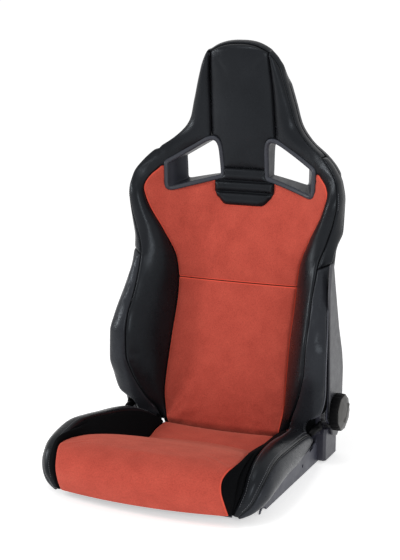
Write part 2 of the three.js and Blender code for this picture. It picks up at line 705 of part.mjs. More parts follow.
// ---------------------------------------------------------------- seat cushion foam and pan
const PAN_Z = 21.4; // underside of the seat pan
const PAN = 2.5; // sheet thickness
const PAN_HALF = 196;
const FOAM_HALF = 132;
function seatFoam() {
  const depth = COVER + 6;
  const top = Array.from({ length: 13 }, (_, i) => {
    const v = mix(0.03, 0.94, i / 12);
    return INSERT_LINE(v).addScaledVector(insertNormal(v), depth);
  });
  const floor = PAN_Z + PAN + 2 * GAP;
  const points = top.map((p) => new THREE.Vector2(p.y, Math.max(p.z, floor + 8)));
  points.push(new THREE.Vector2(points[points.length - 1].x + 6, floor), new THREE.Vector2(120, floor));
  return prismX(new THREE.Shape(points), -FOAM_HALF, FOAM_HALF);
}
function seatBolsterFoam() {
  return loft((t) => {
    const v = mix(0.04, 0.6, t);
    const clear = COVER + 2.5;
    const [a, b, c] = [0, 1, 2].map((i) => cushionInside(i, v, clear));
    const outer = V(Math.min(c.x, 243) - 1, c.y, Math.min(66, c.z - 8));
    const foot = V(a.x + 6, a.y, Math.max(PAN_Z + PAN + 2, a.z - 22));
    return [a.lerp(b.clone(), 0.15), b, c, outer, V(215, c.y, outer.z - 4), foot];
  }, 12);
}
function seatPan() {
  const profile = [
    [132, 34], [128, 34], [122, PAN_Z + PAN], [-266, PAN_Z + PAN], [-266, 10], [-263.5, 10],
    [-263.5, PAN_Z], [126, PAN_Z],
  ];
  const pan = prismX(new THREE.Shape(profile.map(([y, z]) => new THREE.Vector2(y, z))), -PAN_HALF, PAN_HALF);
  const windows = [-1, 0, 1].map((i) => box(i * 120 - 40, i * 120 + 40, -40, 80, 0, 60));
  return cut(pan, ...windows);
}

// ---------------------------------------------------------------- base frame
function sidePlate() {
  const outline = new THREE.Shape(
    [
      [-170, 26], [-170, 14], [-192, 13], [-203, 8], [-206, 1.5], [-202, 1.5], [-197, 6], [-190, 9],
      [-172, 8], [-168, 0], [232, 0], [232, 62], [166, 62], [150, 50], [60, 42], [-60, 37],
    ].map(([y, z]) => new THREE.Vector2(y, z)),
  );
  const plate = prismX(outline, SIDE_X - PLATE, SIDE_X);
  const foot = box(SIDE_X - FOOT_WIDTH, SIDE_X - PLATE / 2, -166, 230, 0, PLATE);
  const slot = prismX(rounded([[106, 38], [134, 42], [134, 49], [106, 45]], 3), SIDE_X - 10, SIDE_X + 5);
  const holes = [-120, 60].map((y) => barX(4.2, SIDE_X - 10, SIDE_X + 5, y, 22, 10));
  const studs = [-130, 190].map((y) => slotZ(SIDE_X - FOOT_WIDTH / 2 - 1, y));
  return cut(join(plate, foot), slot, ...holes, ...studs);
}
// Upright slot through the foot of a side plate.
function slotZ(x, y) {
  const shape = rounded([[x - 4.2, y - 11], [x + 4.2, y - 11], [x + 4.2, y + 11], [x - 4.2, y + 11]], 4);
  const settings = { depth: 20, bevelEnabled: false, curveSegments: 3 };
  return new THREE.ExtrudeGeometry(shape, settings).translate(0, 0, -8);
}

// ---------------------------------------------------------------- recliner
const SHAFT_R = 6;
const SHAFT_HOLE = 7.5;
const DISC_R = 34;
const DISC_X = 240.3;
const shaftHole = () => barX(SHAFT_HOLE, 200, 280, PIVOT.y, PIVOT.z, 12);
function reclinerBracket() {
  const leg = prismX(rounded([[164, 6], [231, 6], [233, 100], [160, 100]], 7), BRACKET_X, BRACKET_X + 4);
  const head = barX(37, BRACKET_X, BRACKET_X + 4, PIVOT.y, PIVOT.z, 24);
  const window = prismX(rounded([[182, 26], [214, 26], [212, 60], [184, 60]], 8), 230, 245);
  return cut(join(leg, head), shaftHole(), window);
}
const reclinerDisc = () => cut(barX(DISC_R, DISC_X, 251.7, PIVOT.y, PIVOT.z, 24), shaftHole());
// Stop hook in front of the recliner, between the bracket and the backrest.
function stopHook() {
  const outline = rounded([[140, 74], [160, 70], [166, 84], [152, 96], [136, 92]], 5);
  return prismX(outline, 244.5, 251.5);
}
function reclinerArm() {
  const blade = prismX(
    rounded([[168, 122], [166, 250], [170, 372], [186, 380], [212, 300], [226, 210], [222, 122]], 6),
    ARM_X,
    ARM_X + 3.6,
  );
  return cut(join(blade, barX(30, ARM_X, ARM_X + 3.6, PIVOT.y, PIVOT.z, 24)), shaftHole());
}
// Chamfered cover over the foot of the bracket, open towards the seat.
function bracketCover() {
  const outline = [[159, 3], [237, 3], [237, 44], [224, 74], [166, 78], [159, 64]];
  const shape = new THREE.Shape(outline.map(([y, z]) => new THREE.Vector2(y, z)));
  const bevel = { depth: 10.4, bevelThickness: 4, bevelSize: 4, bevelOffset: -4, bevelSegments: 1 };
  const block = acrossX(new THREE.ExtrudeGeometry(shape, bevel)).translate(240.6, 0, 0);
  const back = box(220, 240.4, 100, 300, -10, 100);
  const inner = rounded([[164, 8], [232, 8], [232, 42], [221, 69], [170, 72], [164, 62]], 2);
  const hollow = prismX(inner, 230, 251);
  return cut(block, back, hollow);
}
// Covers over the recliner arms: a tall tapered one on the knob's side, a short one on the other.
const TALL_TIP = [[249, 245], [221, 312], [188, 420], [174, 470], [158, 470], [149, 399], [155, 274]];
const SHORT_TIP = [[247, 262], [228, 306], [200, 328], [176, 324], [165, 284]];
function reclinerCover(tip) {
  const foot = [[160, 188], [168, 108], [188, 60], [222, 48], [250, 78], [255, 145], [257, 205]];
  const outline = rounded([...foot, ...tip], 9);
  const bevel = { depth: 3.2, bevelThickness: 1.6, bevelSize: 2.4, bevelOffset: -2.4, bevelSegments: 1 };
  const plate = acrossX(new THREE.ExtrudeGeometry(outline, { ...bevel, curveSegments: 2 }));
  return cut(plate.translate(COVER_X + 1.6 + GAP, 0, 0), shaftHole());
}

// ---------------------------------------------------------------- recline knob
const KNOB_LOBES = 10;
function knobRim() {
  const points = Array.from({ length: KNOB_LOBES * 3 }, (_, i) => {
    const a = (2 * Math.PI * i) / (KNOB_LOBES * 3);
    const r = KNOB_R - 1.6 - 1.6 * Math.cos(KNOB_LOBES * a) - 1.4;
    return new THREE.Vector2(PIVOT.y + r * Math.cos(a), PIVOT.z + r * Math.sin(a));
  });
  const bevel = { depth: 12, bevelThickness: 1.5, bevelSize: 1.5, bevelSegments: 1 };
  const ring = acrossX(new THREE.ExtrudeGeometry(new THREE.Shape(points), bevel));
  return cut(ring.translate(KNOB_X + 1.5 + GAP, 0, 0), barX(SHAFT_R + GAP, 260, 272, PIVOT.y, PIVOT.z, 20));
}
// Domed cap with a raised finger bar.
function knobCap() {
  const base = KNOB_X + 15 + 2 * GAP;
  const section = [[0, 0], [39, 0], [39, 2], [34, 8], [24, 10.5], [0, 11]];
  const profile = section.map(([r, x]) => new THREE.Vector2(r, x));
  const dome = new THREE.LatheGeometry(profile, 28).rotateZ(-Math.PI / 2).translate(base, PIVOT.y, PIVOT.z);
  const bar = prismX(rounded([[-4.5, -30], [4.5, -30], [4.5, 30], [-4.5, 30]], 4), base + 2, base + 13);
  return join(dome, bar.translate(0, PIVOT.y, PIVOT.z));
}

// ---------------------------------------------------------------- assembly
const FINISH = {
  leather: [0x1d1e22, 0.45, 0],
  cloth: [0x141519, 0.9, 0],
  suede: [0xb24c3f, 0.95, 0],
  shell: [0x26272b, 0.6, 0],
  bezel: [0x43454f, 0.5, 0],
  foam: [0xd8cfa8, 0.95, 0],
  frame: [0x46485a, 0.45, 0.6],
  steel: [0x8a8c92, 0.35, 0.9],
  cover: [0x6c6f76, 0.5, 0],
  knob: [0x141416, 0.5, 0],
};
const group = new THREE.Group();
function add(name, geometry, finish) {
  const [color, roughness, metalness] = FINISH[finish];
  const mesh = new THREE.Mesh(geometry, new THREE.MeshStandardMaterial({ color, roughness, metalness }));
  mesh.name = name;
  group.add(mesh);
}
function addPair(name, geometry, finish) {
  add("left_" + name, mirrored(geometry), finish);
  add("right_" + name, geometry, finish);
}

// Backrest
add("back_insert_lower", insert(FOOT.seam, BACK_SPLIT_Z - SEAM, 10), "suede");
const insertUpper = insert(BACK_SPLIT_Z + SEAM, WING_Z - SEAM, 9);
add("back_insert_upper", largest(cut(insertUpper, ...beltCutters(), neckCutter())), "suede");
addPair("back_bolster", backBolster(), "leather");
addPair("lumbar_side", lumbarSide(), "leather");
addPair("shoulder_side", shoulderSide(), "leather");
addPair("head_wing", largest(cut(headWing(), beltCutter())), "leather");
addPair("head_side", headSide(), "leather");
add("head_panel", largest(cut(headPanel(), ...beltCutters())), "leather");
add("neck_pad", neckPad(), "leather");
addPair("belt_bezel", beltBezel(), "bezel");
add("back_shell", cut(backShell(), ...beltCutters()), "shell");
add("back_foam", backFoam(), "foam");
add("head_foam", headFoam(), "foam");
addPair("back_bolster_foam", bolsterFoam(), "foam");
addPair("frame_post", framePost(), "frame");
add("frame_foot_tube", footTube(), "frame");
add("frame_cross_tube_lower", crossTube(250, 4), "frame");
add("frame_cross_tube_upper", crossTube(500, 24), "frame");
addPair("recliner_arm", reclinerArm(), "steel");
add("left_recliner_cover", mirrored(reclinerCover(SHORT_TIP)), "cover");
add("right_recliner_cover", reclinerCover(TALL_TIP), "cover");

// Seat base
add("seat_insert", seatInsert(), "suede");
addPair("seat_bolster_inner", cushionStrip(0, 3, 16), "cloth");
addPair("seat_bolster", cushionStrip(1, 4, 16), "leather");
addPair("seat_side", cushionStrip(2, 4, 16), "leather");
add("seat_foam", seatFoam(), "foam");
addPair("seat_bolster_foam", seatBolsterFoam(), "foam");
add("seat_pan", seatPan(), "frame");
addPair("side_plate", sidePlate(), "frame");
add("front_cross_tube", barAcross(8, SIDE_X - PLATE - GAP, -140, 13), "frame");
add("rear_cross_tube", barAcross(8, SIDE_X - PLATE - GAP, 100, 13), "frame");
addPair("recliner_bracket", reclinerBracket(), "frame");
addPair("recliner_disc", reclinerDisc(), "steel");
addPair("stop_hook", stopHook(), "frame");
addPair("bracket_cover", bracketCover(), "frame");

// Recliner drive
add("cross_shaft", barX(SHAFT_R, -256, 271, PIVOT.y, PIVOT.z, 16), "steel");
add("knob_rim", knobRim(), "knob");
add("knob_cap", knobCap(), "cover");

export default group;
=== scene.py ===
# Looks of the reclining sports seat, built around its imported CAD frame.
# Lengths are in millimetres in the frame's axes until a mesh is made; Blender gets metres.
import math

import bmesh
import bpy
import numpy as np
from mathutils import Matrix, Vector
from mathutils.kdtree import KDTree


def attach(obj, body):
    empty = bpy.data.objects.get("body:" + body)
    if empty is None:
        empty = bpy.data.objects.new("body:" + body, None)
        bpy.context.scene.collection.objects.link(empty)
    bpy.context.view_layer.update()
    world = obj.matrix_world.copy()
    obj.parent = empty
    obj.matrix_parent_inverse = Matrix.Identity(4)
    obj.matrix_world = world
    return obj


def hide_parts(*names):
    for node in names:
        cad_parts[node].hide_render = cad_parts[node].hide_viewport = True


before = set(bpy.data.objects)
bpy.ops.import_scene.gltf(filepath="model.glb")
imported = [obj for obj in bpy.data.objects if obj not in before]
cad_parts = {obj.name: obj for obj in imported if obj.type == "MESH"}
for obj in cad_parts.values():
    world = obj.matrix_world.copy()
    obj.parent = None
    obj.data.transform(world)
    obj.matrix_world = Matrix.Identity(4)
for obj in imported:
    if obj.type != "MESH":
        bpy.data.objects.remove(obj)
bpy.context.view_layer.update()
MM = 0.001


def assign(thing, **values):
    for key, value in values.items():
        setattr(thing, key, value)
    return thing


def link(name, data):
    obj = bpy.data.objects.new(name, data)
    bpy.context.scene.collection.objects.link(obj)
    return obj


# ---------- camera
CAMERA_AT = (1270.1, -2901.6, 1139.5)
AZIMUTH = 23.5
ELEVATION = 12.4
LENS = 93.86

camera = link("camera", assign(bpy.data.cameras.new("camera"), lens=LENS, sensor_width=36, clip_end=100))
camera.location = Vector(CAMERA_AT) * MM
camera.rotation_euler = (math.radians(90 - ELEVATION), 0, math.radians(AZIMUTH))
bpy.context.scene.camera = camera

# ---------- driving dimensions, as in the CAD model
PIVOT = (195, 115)  # recline axis: y, z
COVER = 9  # a cover with its padding
BACK_SPLIT_Z = 391  # seam across the middle insert
WAIST_Z = 452  # seam across the side panel, at the ridge
WING_Z = 655  # the insert ends and the head wings start
CROWN_Z = 957.5
HEAD_HALF = 73  # half the width of the head at its top
SHELL_HALF = 247
SHELL_LIP = 251
BELT = [(50, 631), (54, 752), (192, 669), (190, 593)]  # corners of the right belt opening, x and z
BELT_ROUND = [14, 34, 14, 20]
BEZEL = 11  # width of the flange around a belt opening
TUNNEL_LEAN = (26, 15)  # the outer side of a belt tunnel leans inwards and upwards by this much
NECK_TOP = 656
NECK_FOOT = 568
NECK_CHANNELS = (625, 599)
BOW = 21  # the seat insert's middle reaches this far in front of its edges
DIP = 3  # and lies this far below them at the rear


# ---------- small maths
def vec(x, y, z):
    return np.array([x, y, z], float)


def mix(a, b, t):
    return a + (b - a) * t


def clamp01(t):
    return min(1.0, max(0.0, t))


def smooth(a, b, x):
    t = clamp01((x - a) / (b - a))
    return t * t * (3 - 2 * t)


def unit(v):
    return v / (np.linalg.norm(v) or 1)


def through(pairs):
    """A smooth function through (position, value) pairs that never overshoots them."""
    xs = [p[0] for p in pairs]
    ys = [p[1] for p in pairs]
    n = len(pairs)
    slope = [(ys[i + 1] - ys[i]) / (xs[i + 1] - xs[i]) for i in range(n - 1)]
    tangent = [slope[0]]
    for a, b in zip(slope, slope[1:]):
        tangent.append(0 if a * b <= 0 else 2 * a * b / (a + b))
    tangent.append(slope[-1])

    def value(x):
        i = 0
        while i < n - 2 and x > xs[i + 1]:
            i += 1
        h = xs[i + 1] - xs[i]
        t = clamp01((x - xs[i]) / h)
        return (
            ys[i] * (1 + 2 * t) * (1 - t) ** 2
            + ys[i + 1] * t * t * (3 - 2 * t)
            + h * (tangent[i] * t * (1 - t) ** 2 - tangent[i + 1] * t * t * (1 - t))
        )

    return value


def curve3(points):
    """A centripetal Catmull-Rom curve: a function of v from 0 to 1."""
    p = [np.array(q, float) for q in points]
    p = [2 * p[0] - p[1], *p, 2 * p[-1] - p[-2]]
    last = len(points) - 1

    def point(v):
        place = clamp01(v) * last
        i = min(int(place), last - 1)
        t = place - i
        a, b, c, d = p[i : i + 4]
        d0, d1, d2 = (np.linalg.norm(k) ** 0.5 for k in (b - a, c - b, d - c))
        m1 = ((b - a) / d0 - (c - a) / (d0 + d1) + (c - b) / d1) * d1
        m2 = ((c - b) / d1 - (d - b) / (d1 + d2) + (d - c) / d2) * d1
        return b + t * m1 + t * t * (3 * (c - b) - 2 * m1 - m2) + t**3 * (2 * (b - c) + m1 + m2)

    return point


# ---------- backrest curves, functions of height
centre_y = through([
    (62, 140), (155, 153), (250, 186), (391, 236), (520, 267), (600, 283), (640, 286), (700, 277),
    (747, 265), (840, 252), (934, 238), (958, 252),
])
seam_x = through([
    (62, 146), (136, 155), (312, 151), (392, 152), (433, 157), (503, 184), (581, 222), (612, 229),
    (632, 222), (655, 200),
])
seam_y = through([
    (62, 146), (136, 159), (250, 192), (391, 239), (433, 240), (503, 225), (545, 215), (605, 208),
    (623, 216), (655, 240),
])
ridge_x = through([
    (62, 160), (85, 170), (146, 198), (180, 211), (230, 222), (315, 224), (392, 220), (454, 223),
    (513, 241), (559, 255), (600, 261), (641, 254), (671, 235), (697, 209), (729, 164), (767, 134),
    (811, 122), (897, 98), (925, 86), (940, 69),
])
ridge_y = through([
    (62, 156), (85, 146), (114, 122), (146, 107), (180, 95), (220, 87), (274, 89), (315, 100), (352, 122),
    (392, 143), (454, 173), (513, 189), (600, 195), (641, 205), (697, 237), (729, 256), (767, 266),
    (811, 262), (897, 252), (940, 250),
])
edge_x = through([
    (62, 205), (103, 222), (130, 256), (169, 267), (211, 272), (275, 272), (311, 268), (389, 255),
    (440, 250), (489, 254), (533, 264), (600, 265), (641, 257), (671, 239), (697, 213), (729, 168),
    (767, 138), (811, 126), (897, 102), (925, 90), (940, 73),
])
edge_y = through([
    (62, 134), (103, 121), (169, 111), (211, 99), (275, 102), (311, 117), (389, 161), (457, 199),
    (533, 228), (600, 238), (641, 244), (697, 262), (729, 277), (767, 287), (811, 284), (897, 272),
    (940, 268),
])
rear_y = through([
    (75, 250), (120, 266), (250, 292), (400, 308), (550, 321), (650, 326), (780, 326), (850, 324),
    (900, 317), (935, 300), (958, 272),
])
head_x = through([(640, 84), (747, 81), (840, 79), (934, 73), (960, 70)])
head_pleat_y = through([(700, 280), (747, 272), (840, 259), (934, 245), (960, 262)])


def shoulder_y(x, z):
    """Front surface of the shoulders and wings."""
    return mix(centre_y(z), ridge_y(z), min(1, abs(x) / ridge_x(z)) ** 2.4)


HEAD_START = 690  # above this height the head comes away from the surface of the shoulders


def head_seam_y(z):
    return mix(shoulder_y(head_x(z), z), head_pleat_y(z), smooth(HEAD_START, 750, z))


def column(x, y):
    return lambda z: vec(x(z), y(z), z)


SEAM_LINE = column(seam_x, seam_y)
RIDGE_LINE = column(ridge_x, ridge_y)
EDGE_LINE = column(edge_x, edge_y)
HEAD_LINE = column(head_x, head_seam_y)


def insert_point(u, z):
    """The middle insert, u from -1 to 1."""
    power = mix(2, 3, smooth(BACK_SPLIT_Z, 560, z))
    return vec(u * seam_x(z), mix(centre_y(z), seam_y(z), abs(u) ** power), z)


def wing_point(t, z):
    """The head wing, from the head seam (0) to the piped edge (1)."""
    x = mix(head_x(z), ridge_x(z), t)
    cheek = mix(head_seam_y(z), ridge_y(z), t) - CHEEK * 4 * t * (1 - t)
    return vec(x, mix(shoulder_y(x, z), cheek, smooth(HEAD_START, 760, z)), z)


CHEEK = 9  # how far the wing crowns between its seams


def crown_z(x):
    return CROWN_Z - 20 * (abs(x) / HEAD_HALF) ** 2.6


# ---------- seat cushion curves
# v runs from the rear (0) over the front edge to the front foot (1).
INSERT_LINE = curve3([
    (144, 137, 57), (142, 85, 56), (137, 25, 52), (148, -40, 69), (172, -122, 99), (196, -184, 114),
    (204, -240, 122), (200, -286, 123), (194, -311, 106), (194, -316, 82), (197, -303, 47),
    (198, -286, 18),
])
BOLSTER_LINE = curve3([
    (152, 131, 66), (182, 96, 89), (200, 42, 103), (209, -20, 114), (214, -75, 124), (218, -130, 129),
    (219, -190, 123), (221, -230, 112), (222, -255, 95), (222, -270, 75), (215, -280, 50),
    (205, -284, 20),
])
PIPING_LINE = curve3([
    (238, 112, 76), (243, 70, 91), (248, 20, 100), (253, -40, 106), (257, -110, 111), (259, -165, 112),
    (260, -205, 105), (260, -234, 92), (254, -256, 72), (243, -270, 46), (226, -276, 28), (214, -278, 16),
])
SKIRT_LINE = curve3([
    (240, 116, 62), (244, 75, 58), (248, 20, 54), (254, -30, 55), (258, -90, 58), (257, -140, 52),
    (254, -182, 42), (250, -212, 33), (243, -236, 25), (234, -252, 19), (223, -264, 14), (213, -272, 11),
])
CUSHION_LINES = [INSERT_LINE, BOLSTER_LINE, PIPING_LINE, SKIRT_LINE]


def cushion_insert_point(u, v):
    edge = INSERT_LINE(v)
    middle = 1 - u * u
    return vec(
        u * edge[0],
        edge[1] - BOW * middle * smooth(0.4, 0.7, v),
        edge[2] - DIP * middle * (1 - smooth(0.5, 0.7, v)),
    )


# ---------- lines and closed outlines
def distances(points):
    """The distance along a line at each of its points."""
    return np.concatenate([[0], np.cumsum(np.linalg.norm(np.diff(points, axis=0), axis=1))])


def places_at(points, run, where):
    """The places on a line at the given distances along it."""
    return np.stack([np.interp(where, run, column) for column in points.T], axis=-1)


def evenly(points, count):
    """The same line as a number of points at equal distances."""
    points = np.array(points)
    run = distances(points)
    return places_at(points, run, np.linspace(0, run[-1], count))


CORNER_STEPS = 8


def rounded(points, radii):
    """A closed outline with each corner rounded by one radius, or by its own."""
    out = []
    n = len(points)
    for i, point in enumerate(points):
        corner = np.array(point, float)
        before = np.array(points[i - 1], float) - corner
        after = np.array(points[(i + 1) % n], float) - corner
        radius = radii[i] if isinstance(radii, (list, tuple)) else radii
        cosine = np.dot(unit(before), unit(after))
        half = math.acos(max(-1, min(1, cosine))) / 2
        reach = min(radius / math.tan(half), *[np.linalg.norm(side) * 0.48 for side in (before, after)])
        start = corner + unit(before) * reach
        end = corner + unit(after) * reach
        for k in range(CORNER_STEPS + 1):
            t = k / CORNER_STEPS
            out.append((1 - t) ** 2 * start + 2 * t * (1 - t) * corner + t * t * end)
    return resampled(out)


def resampled(points, step=2.5):
    """The closed outline with points at an even spacing."""
    points = np.array([*points, points[0]])
    run = distances(points)
    count = max(12, int(run[-1] / step))
    return places_at(points, run, np.linspace(0, run[-1], count, endpoint=False))


def inset_outline(outline, distance):
    """The outline moved inwards."""
    before = np.roll(outline, 1, axis=0)
    after = np.roll(outline, -1, axis=0)
    along = after - before
    along /= np.linalg.norm(along, axis=1)[:, None]
    area = 0.5 * np.sum(before[:, 0] * outline[:, 1] - outline[:, 0] * before[:, 1])
    turn = 1 if area > 0 else -1
    return outline + turn * distance * np.stack([-along[:, 1], along[:, 0]], axis=1)


def outline_distance(outline, x, z):
    """Signed distance to an outline in the front view, negative inside, for arrays of points."""
    a = outline
    b = np.roll(outline, -1, axis=0)
    p = np.stack([np.ravel(x), np.ravel(z)], axis=1)
    best = np.full(len(p), 1e9)
    inside = np.zeros(len(p), bool)
    for (ax, az), (bx, bz) in zip(a, b):
        edge = np.array([bx - ax, bz - az])
        rel = p - (ax, az)
        t = np.clip(rel @ edge / (edge @ edge), 0, 1)
        best = np.minimum(best, np.linalg.norm(rel - t[:, None] * edge, axis=1))
        cross = (az > p[:, 1]) != (bz > p[:, 1])
        with np.errstate(divide="ignore", invalid="ignore"):
            inside ^= cross & (p[:, 0] < (bx - ax) * (p[:, 1] - az) / (bz - az) + ax)
    return np.where(inside, -best, best).reshape(np.shape(x))


BELT_OUTLINE = rounded(BELT, BELT_ROUND)
NECK_HALF = [(58, NECK_TOP), (58, 632), (76, 625), (74, 598), (50, NECK_FOOT)]
NECK_ROUND = [4, 10, 7, 26, 30]
NECK_CORNERS = [*NECK_HALF, *[(-x, z) for x, z in reversed(NECK_HALF)]]
NECK_OUTLINE = rounded(NECK_CORNERS, [*NECK_ROUND, *reversed(NECK_ROUND)])


# ---------- meshes
def make_object(name, points, faces):
    """A smooth-shaded mesh object from points in millimetres."""
    mesh = bpy.data.meshes.new(name)
    mesh.from_pydata((np.asarray(points, float) * MM).tolist(), [], faces)
    mesh.validate()
    mesh.polygons.foreach_set("use_smooth", [True] * len(mesh.polygons))
    return link(name, mesh)


def weld(obj, distance=0.2):
    """Joins points that coincide and turns every face the same way."""
    bm = bmesh.new()
    bm.from_mesh(obj.data)
    bmesh.ops.remove_doubles(bm, verts=bm.verts, dist=distance * MM)
    bmesh.ops.recalc_face_normals(bm, faces=bm.faces)
    bm.to_mesh(obj.data)
    bm.free()


def face_outwards(obj, outward):
    total = Vector((0, 0, 0))
    for polygon in obj.data.polygons:
        total += polygon.normal * polygon.area
    if total.dot(Vector(outward)) < 0:
        obj.data.flip_normals()


def modify(obj, kind, **values):
    return assign(obj.modifiers.new(kind.lower(), kind), **values)


def flat_faced(obj, angle):
    """Flat faces with small chamfers along the edges sharper than the angle."""
    obj.data.polygons.foreach_set("use_smooth", [False] * len(obj.data.polygons))
    modify(obj, "BEVEL", width=0.0012, segments=2, limit_method="ANGLE", angle_limit=angle)
    return obj


def mirror_copy(obj, name):
    """The same piece on the other side of the seat."""
    mesh = obj.data.copy()
    mesh.transform(Matrix.Diagonal((-1, 1, 1, 1)))
    mesh.flip_normals()
    copy = link(name, mesh)
    if "thickness" in obj:
        thicken(copy, obj["thickness"])
    return copy


def thicken(obj, thickness):
    """Gives a sheet its thickness, inwards, and one round of subdivision."""
    obj["thickness"] = thickness
    modify(obj, "SOLIDIFY", thickness=thickness * MM, offset=-1, use_rim=True)
    modify(obj, "SUBSURF", levels=1, render_levels=1)


# ---------- sheets of cover material
def grid(surface, nu, nv):
    """Points and faces of a surface of u and v from 0 to 1."""
    points = [surface(i / nu, j / nv) for j in range(nv + 1) for i in range(nu + 1)]
    row = nu + 1
    corners = [j * row + i for j in range(nv) for i in range(nu)]
    return np.array(points), [(k, k + 1, k + row + 1, k + row) for k in corners]


def trimmed(points, faces, outlines, keep_inside=False):
    """Cuts a sheet along outlines in the front view: opens them, or keeps only what is inside."""
    inside = np.zeros(len(points), bool)
    for outline in outlines:
        inside |= outline_distance(outline, points[:, 0], points[:, 2]) < 0
    gone = ~inside if keep_inside else inside
    faces = [face for face in faces if not all(gone[k] for k in face)]
    every = np.concatenate(outlines)
    for k in {k for face in faces for k in face if gone[k]}:
        gap = np.hypot(every[:, 0] - points[k, 0], every[:, 1] - points[k, 2])
        points[k, 0], points[k, 2] = every[gap.argmin()]
    return points, faces


COVERS = []


def cut_cover(name, sheet, outward):
    """A cover as it is cut, before it is sewn to its neighbours and padded."""
    obj = make_object(name, *sheet)
    weld(obj)
    face_outwards(obj, outward)
    COVERS.append(obj)
    return obj


def open_edges(mesh):
    """The edges of a sheet that belong to one face only, as pairs of points."""
    used = {}
    for polygon in mesh.polygons:
        for key in polygon.edge_keys:
            used[key] = used.get(key, 0) + 1
    return [key for key, count in used.items() if count == 1]


def sewing_table():
    """Every sewn edge on both sides of the seat, with the normals of the covers that meet there."""
    places, normals = [], []
    for obj in COVERS:
        vertices = obj.data.vertices
        for k in {k for key in open_edges(obj.data) for k in key}:
            for side in (1, -1):
                flip = Vector((side, 1, 1))
                places.append(vertices[k].co * flip)
                normals.append(vertices[k].normal * flip)
    tree = KDTree(len(places))
    for k, place in enumerate(places):
        tree.insert(place, k)
    tree.balance()
    return tree, normals


SEWN_REACH = 6 * MM  # covers whose edges lie this close are sewn together


def seam_normal(table, place, own):
    """The shared normal of the covers that meet near a place."""
    tree, normals = table
    total = own * 1e-6
    for _, k, distance in tree.find_range(place, SEWN_REACH):
        total += normals[k] * (1 - distance / SEWN_REACH)
    return total.normalized()


def edge_tree(mesh):
    """A search tree of points along a sheet's open edges, each with its nearer corner."""
    samples = []
    for a, b in open_edges(mesh):
        p, q = mesh.vertices[a].co, mesh.vertices[b].co
        samples += [(p.lerp(q, k / 4), a if k < 2 else b) for k in range(4)]
    tree = KDTree(len(samples))
    for k, (place, _) in enumerate(samples):
        tree.insert(place, k)
    tree.balance()
    return tree, [corner for _, corner in samples]


def roll_off(d, radius):
    """Depth of a rounded edge at distance d from a seam."""
    near = np.clip(d, 0, radius)
    return radius - np.sqrt(radius**2 - (radius - near) ** 2)


def turn_in(obj, normals, depth):
    """Adds the sewing allowance: a strip along every edge that goes straight down into the seam."""
    bm = bmesh.new()
    bm.from_mesh(obj.data)
    bm.verts.ensure_lookup_table()
    layer = bm.verts.layers.float["seam"]
    edges = [edge for edge in bm.edges if edge.is_boundary]
    made = {}
    for vert in {vert for edge in edges for vert in edge.verts}:
        made[vert] = bm.verts.new(vert.co - normals[vert.index] * depth * MM)
        # The allowance's seam value is below zero, so that on the suede it takes the full painted seam shade.
        made[vert][layer] = -depth
    for edge in edges:
        loop = edge.link_loops[0]
        a, b = loop.vert, loop.link_loop_next.vert
        bm.faces.new((b, a, made[a], made[b])).smooth = True
    bm.to_mesh(obj.data)
    bm.free()


ALLOWANCE = 7
COVER_THICKNESS = 2.4
FINE_ROLL = 0.8
FINE_DEPTH = 0.8  # the flat seam across the back shows less of the painted seam shade than the others


def pad(obj, puff, spread, roll, channels=(), detail=None, press=None, fine=None):
    """Pads a cover: it crowns by puff between its seams and rolls down into them, and into channels.

    fine is the height of a seam that lies flat, detail adds creases, and press swells the cover as cloth.
    """
    mesh = obj.data
    own = [v.normal.copy() for v in mesh.vertices]
    places = [v.co.copy() for v in mesh.vertices]
    tree, corners = edge_tree(mesh)
    shared = {k: seam_normal(SEWING, places[k], own[k]) for k in set(corners)}
    points = np.array(places) / MM
    found = [tree.find(place) for place in places]
    d = np.array([distance for _, _, distance in found]) / MM
    near_channel = np.array([min([abs(p[2] - z) for z in channels], default=1e3) for p in points])
    sink = []
    for k, (_, sample, _) in enumerate(found):
        weight = max(0.0, 1 - d[k] / (2.5 * roll))
        sink.append(own[k].lerp(shared[corners[sample]], weight).normalized())
    d = np.minimum(d, near_channel)
    depth = d.copy()
    radius = np.full(len(d), float(roll))
    if fine is not None:
        at_seam = np.array([abs(sample_at[2] / MM - fine) for sample_at, _, _ in found]) < 2
        radius[at_seam] = FINE_ROLL
        depth[at_seam] += FINE_DEPTH
    rise = puff * (1 - np.exp(-d / spread))
    if detail:
        rise += detail(points)
    points += np.array(own) * rise[:, None] - np.array(sink) * roll_off(d, radius)[:, None]
    mesh.vertices.foreach_set("co", (points * MM).ravel())
    if press:
        swell(obj, *press)
    mesh.attributes.new("seam", "FLOAT", "POINT").data.foreach_set("value", depth)
    turn_in(obj, shared, ALLOWANCE)
    thicken(obj, COVER_THICKNESS)


CLOTH_FRAMES = 20


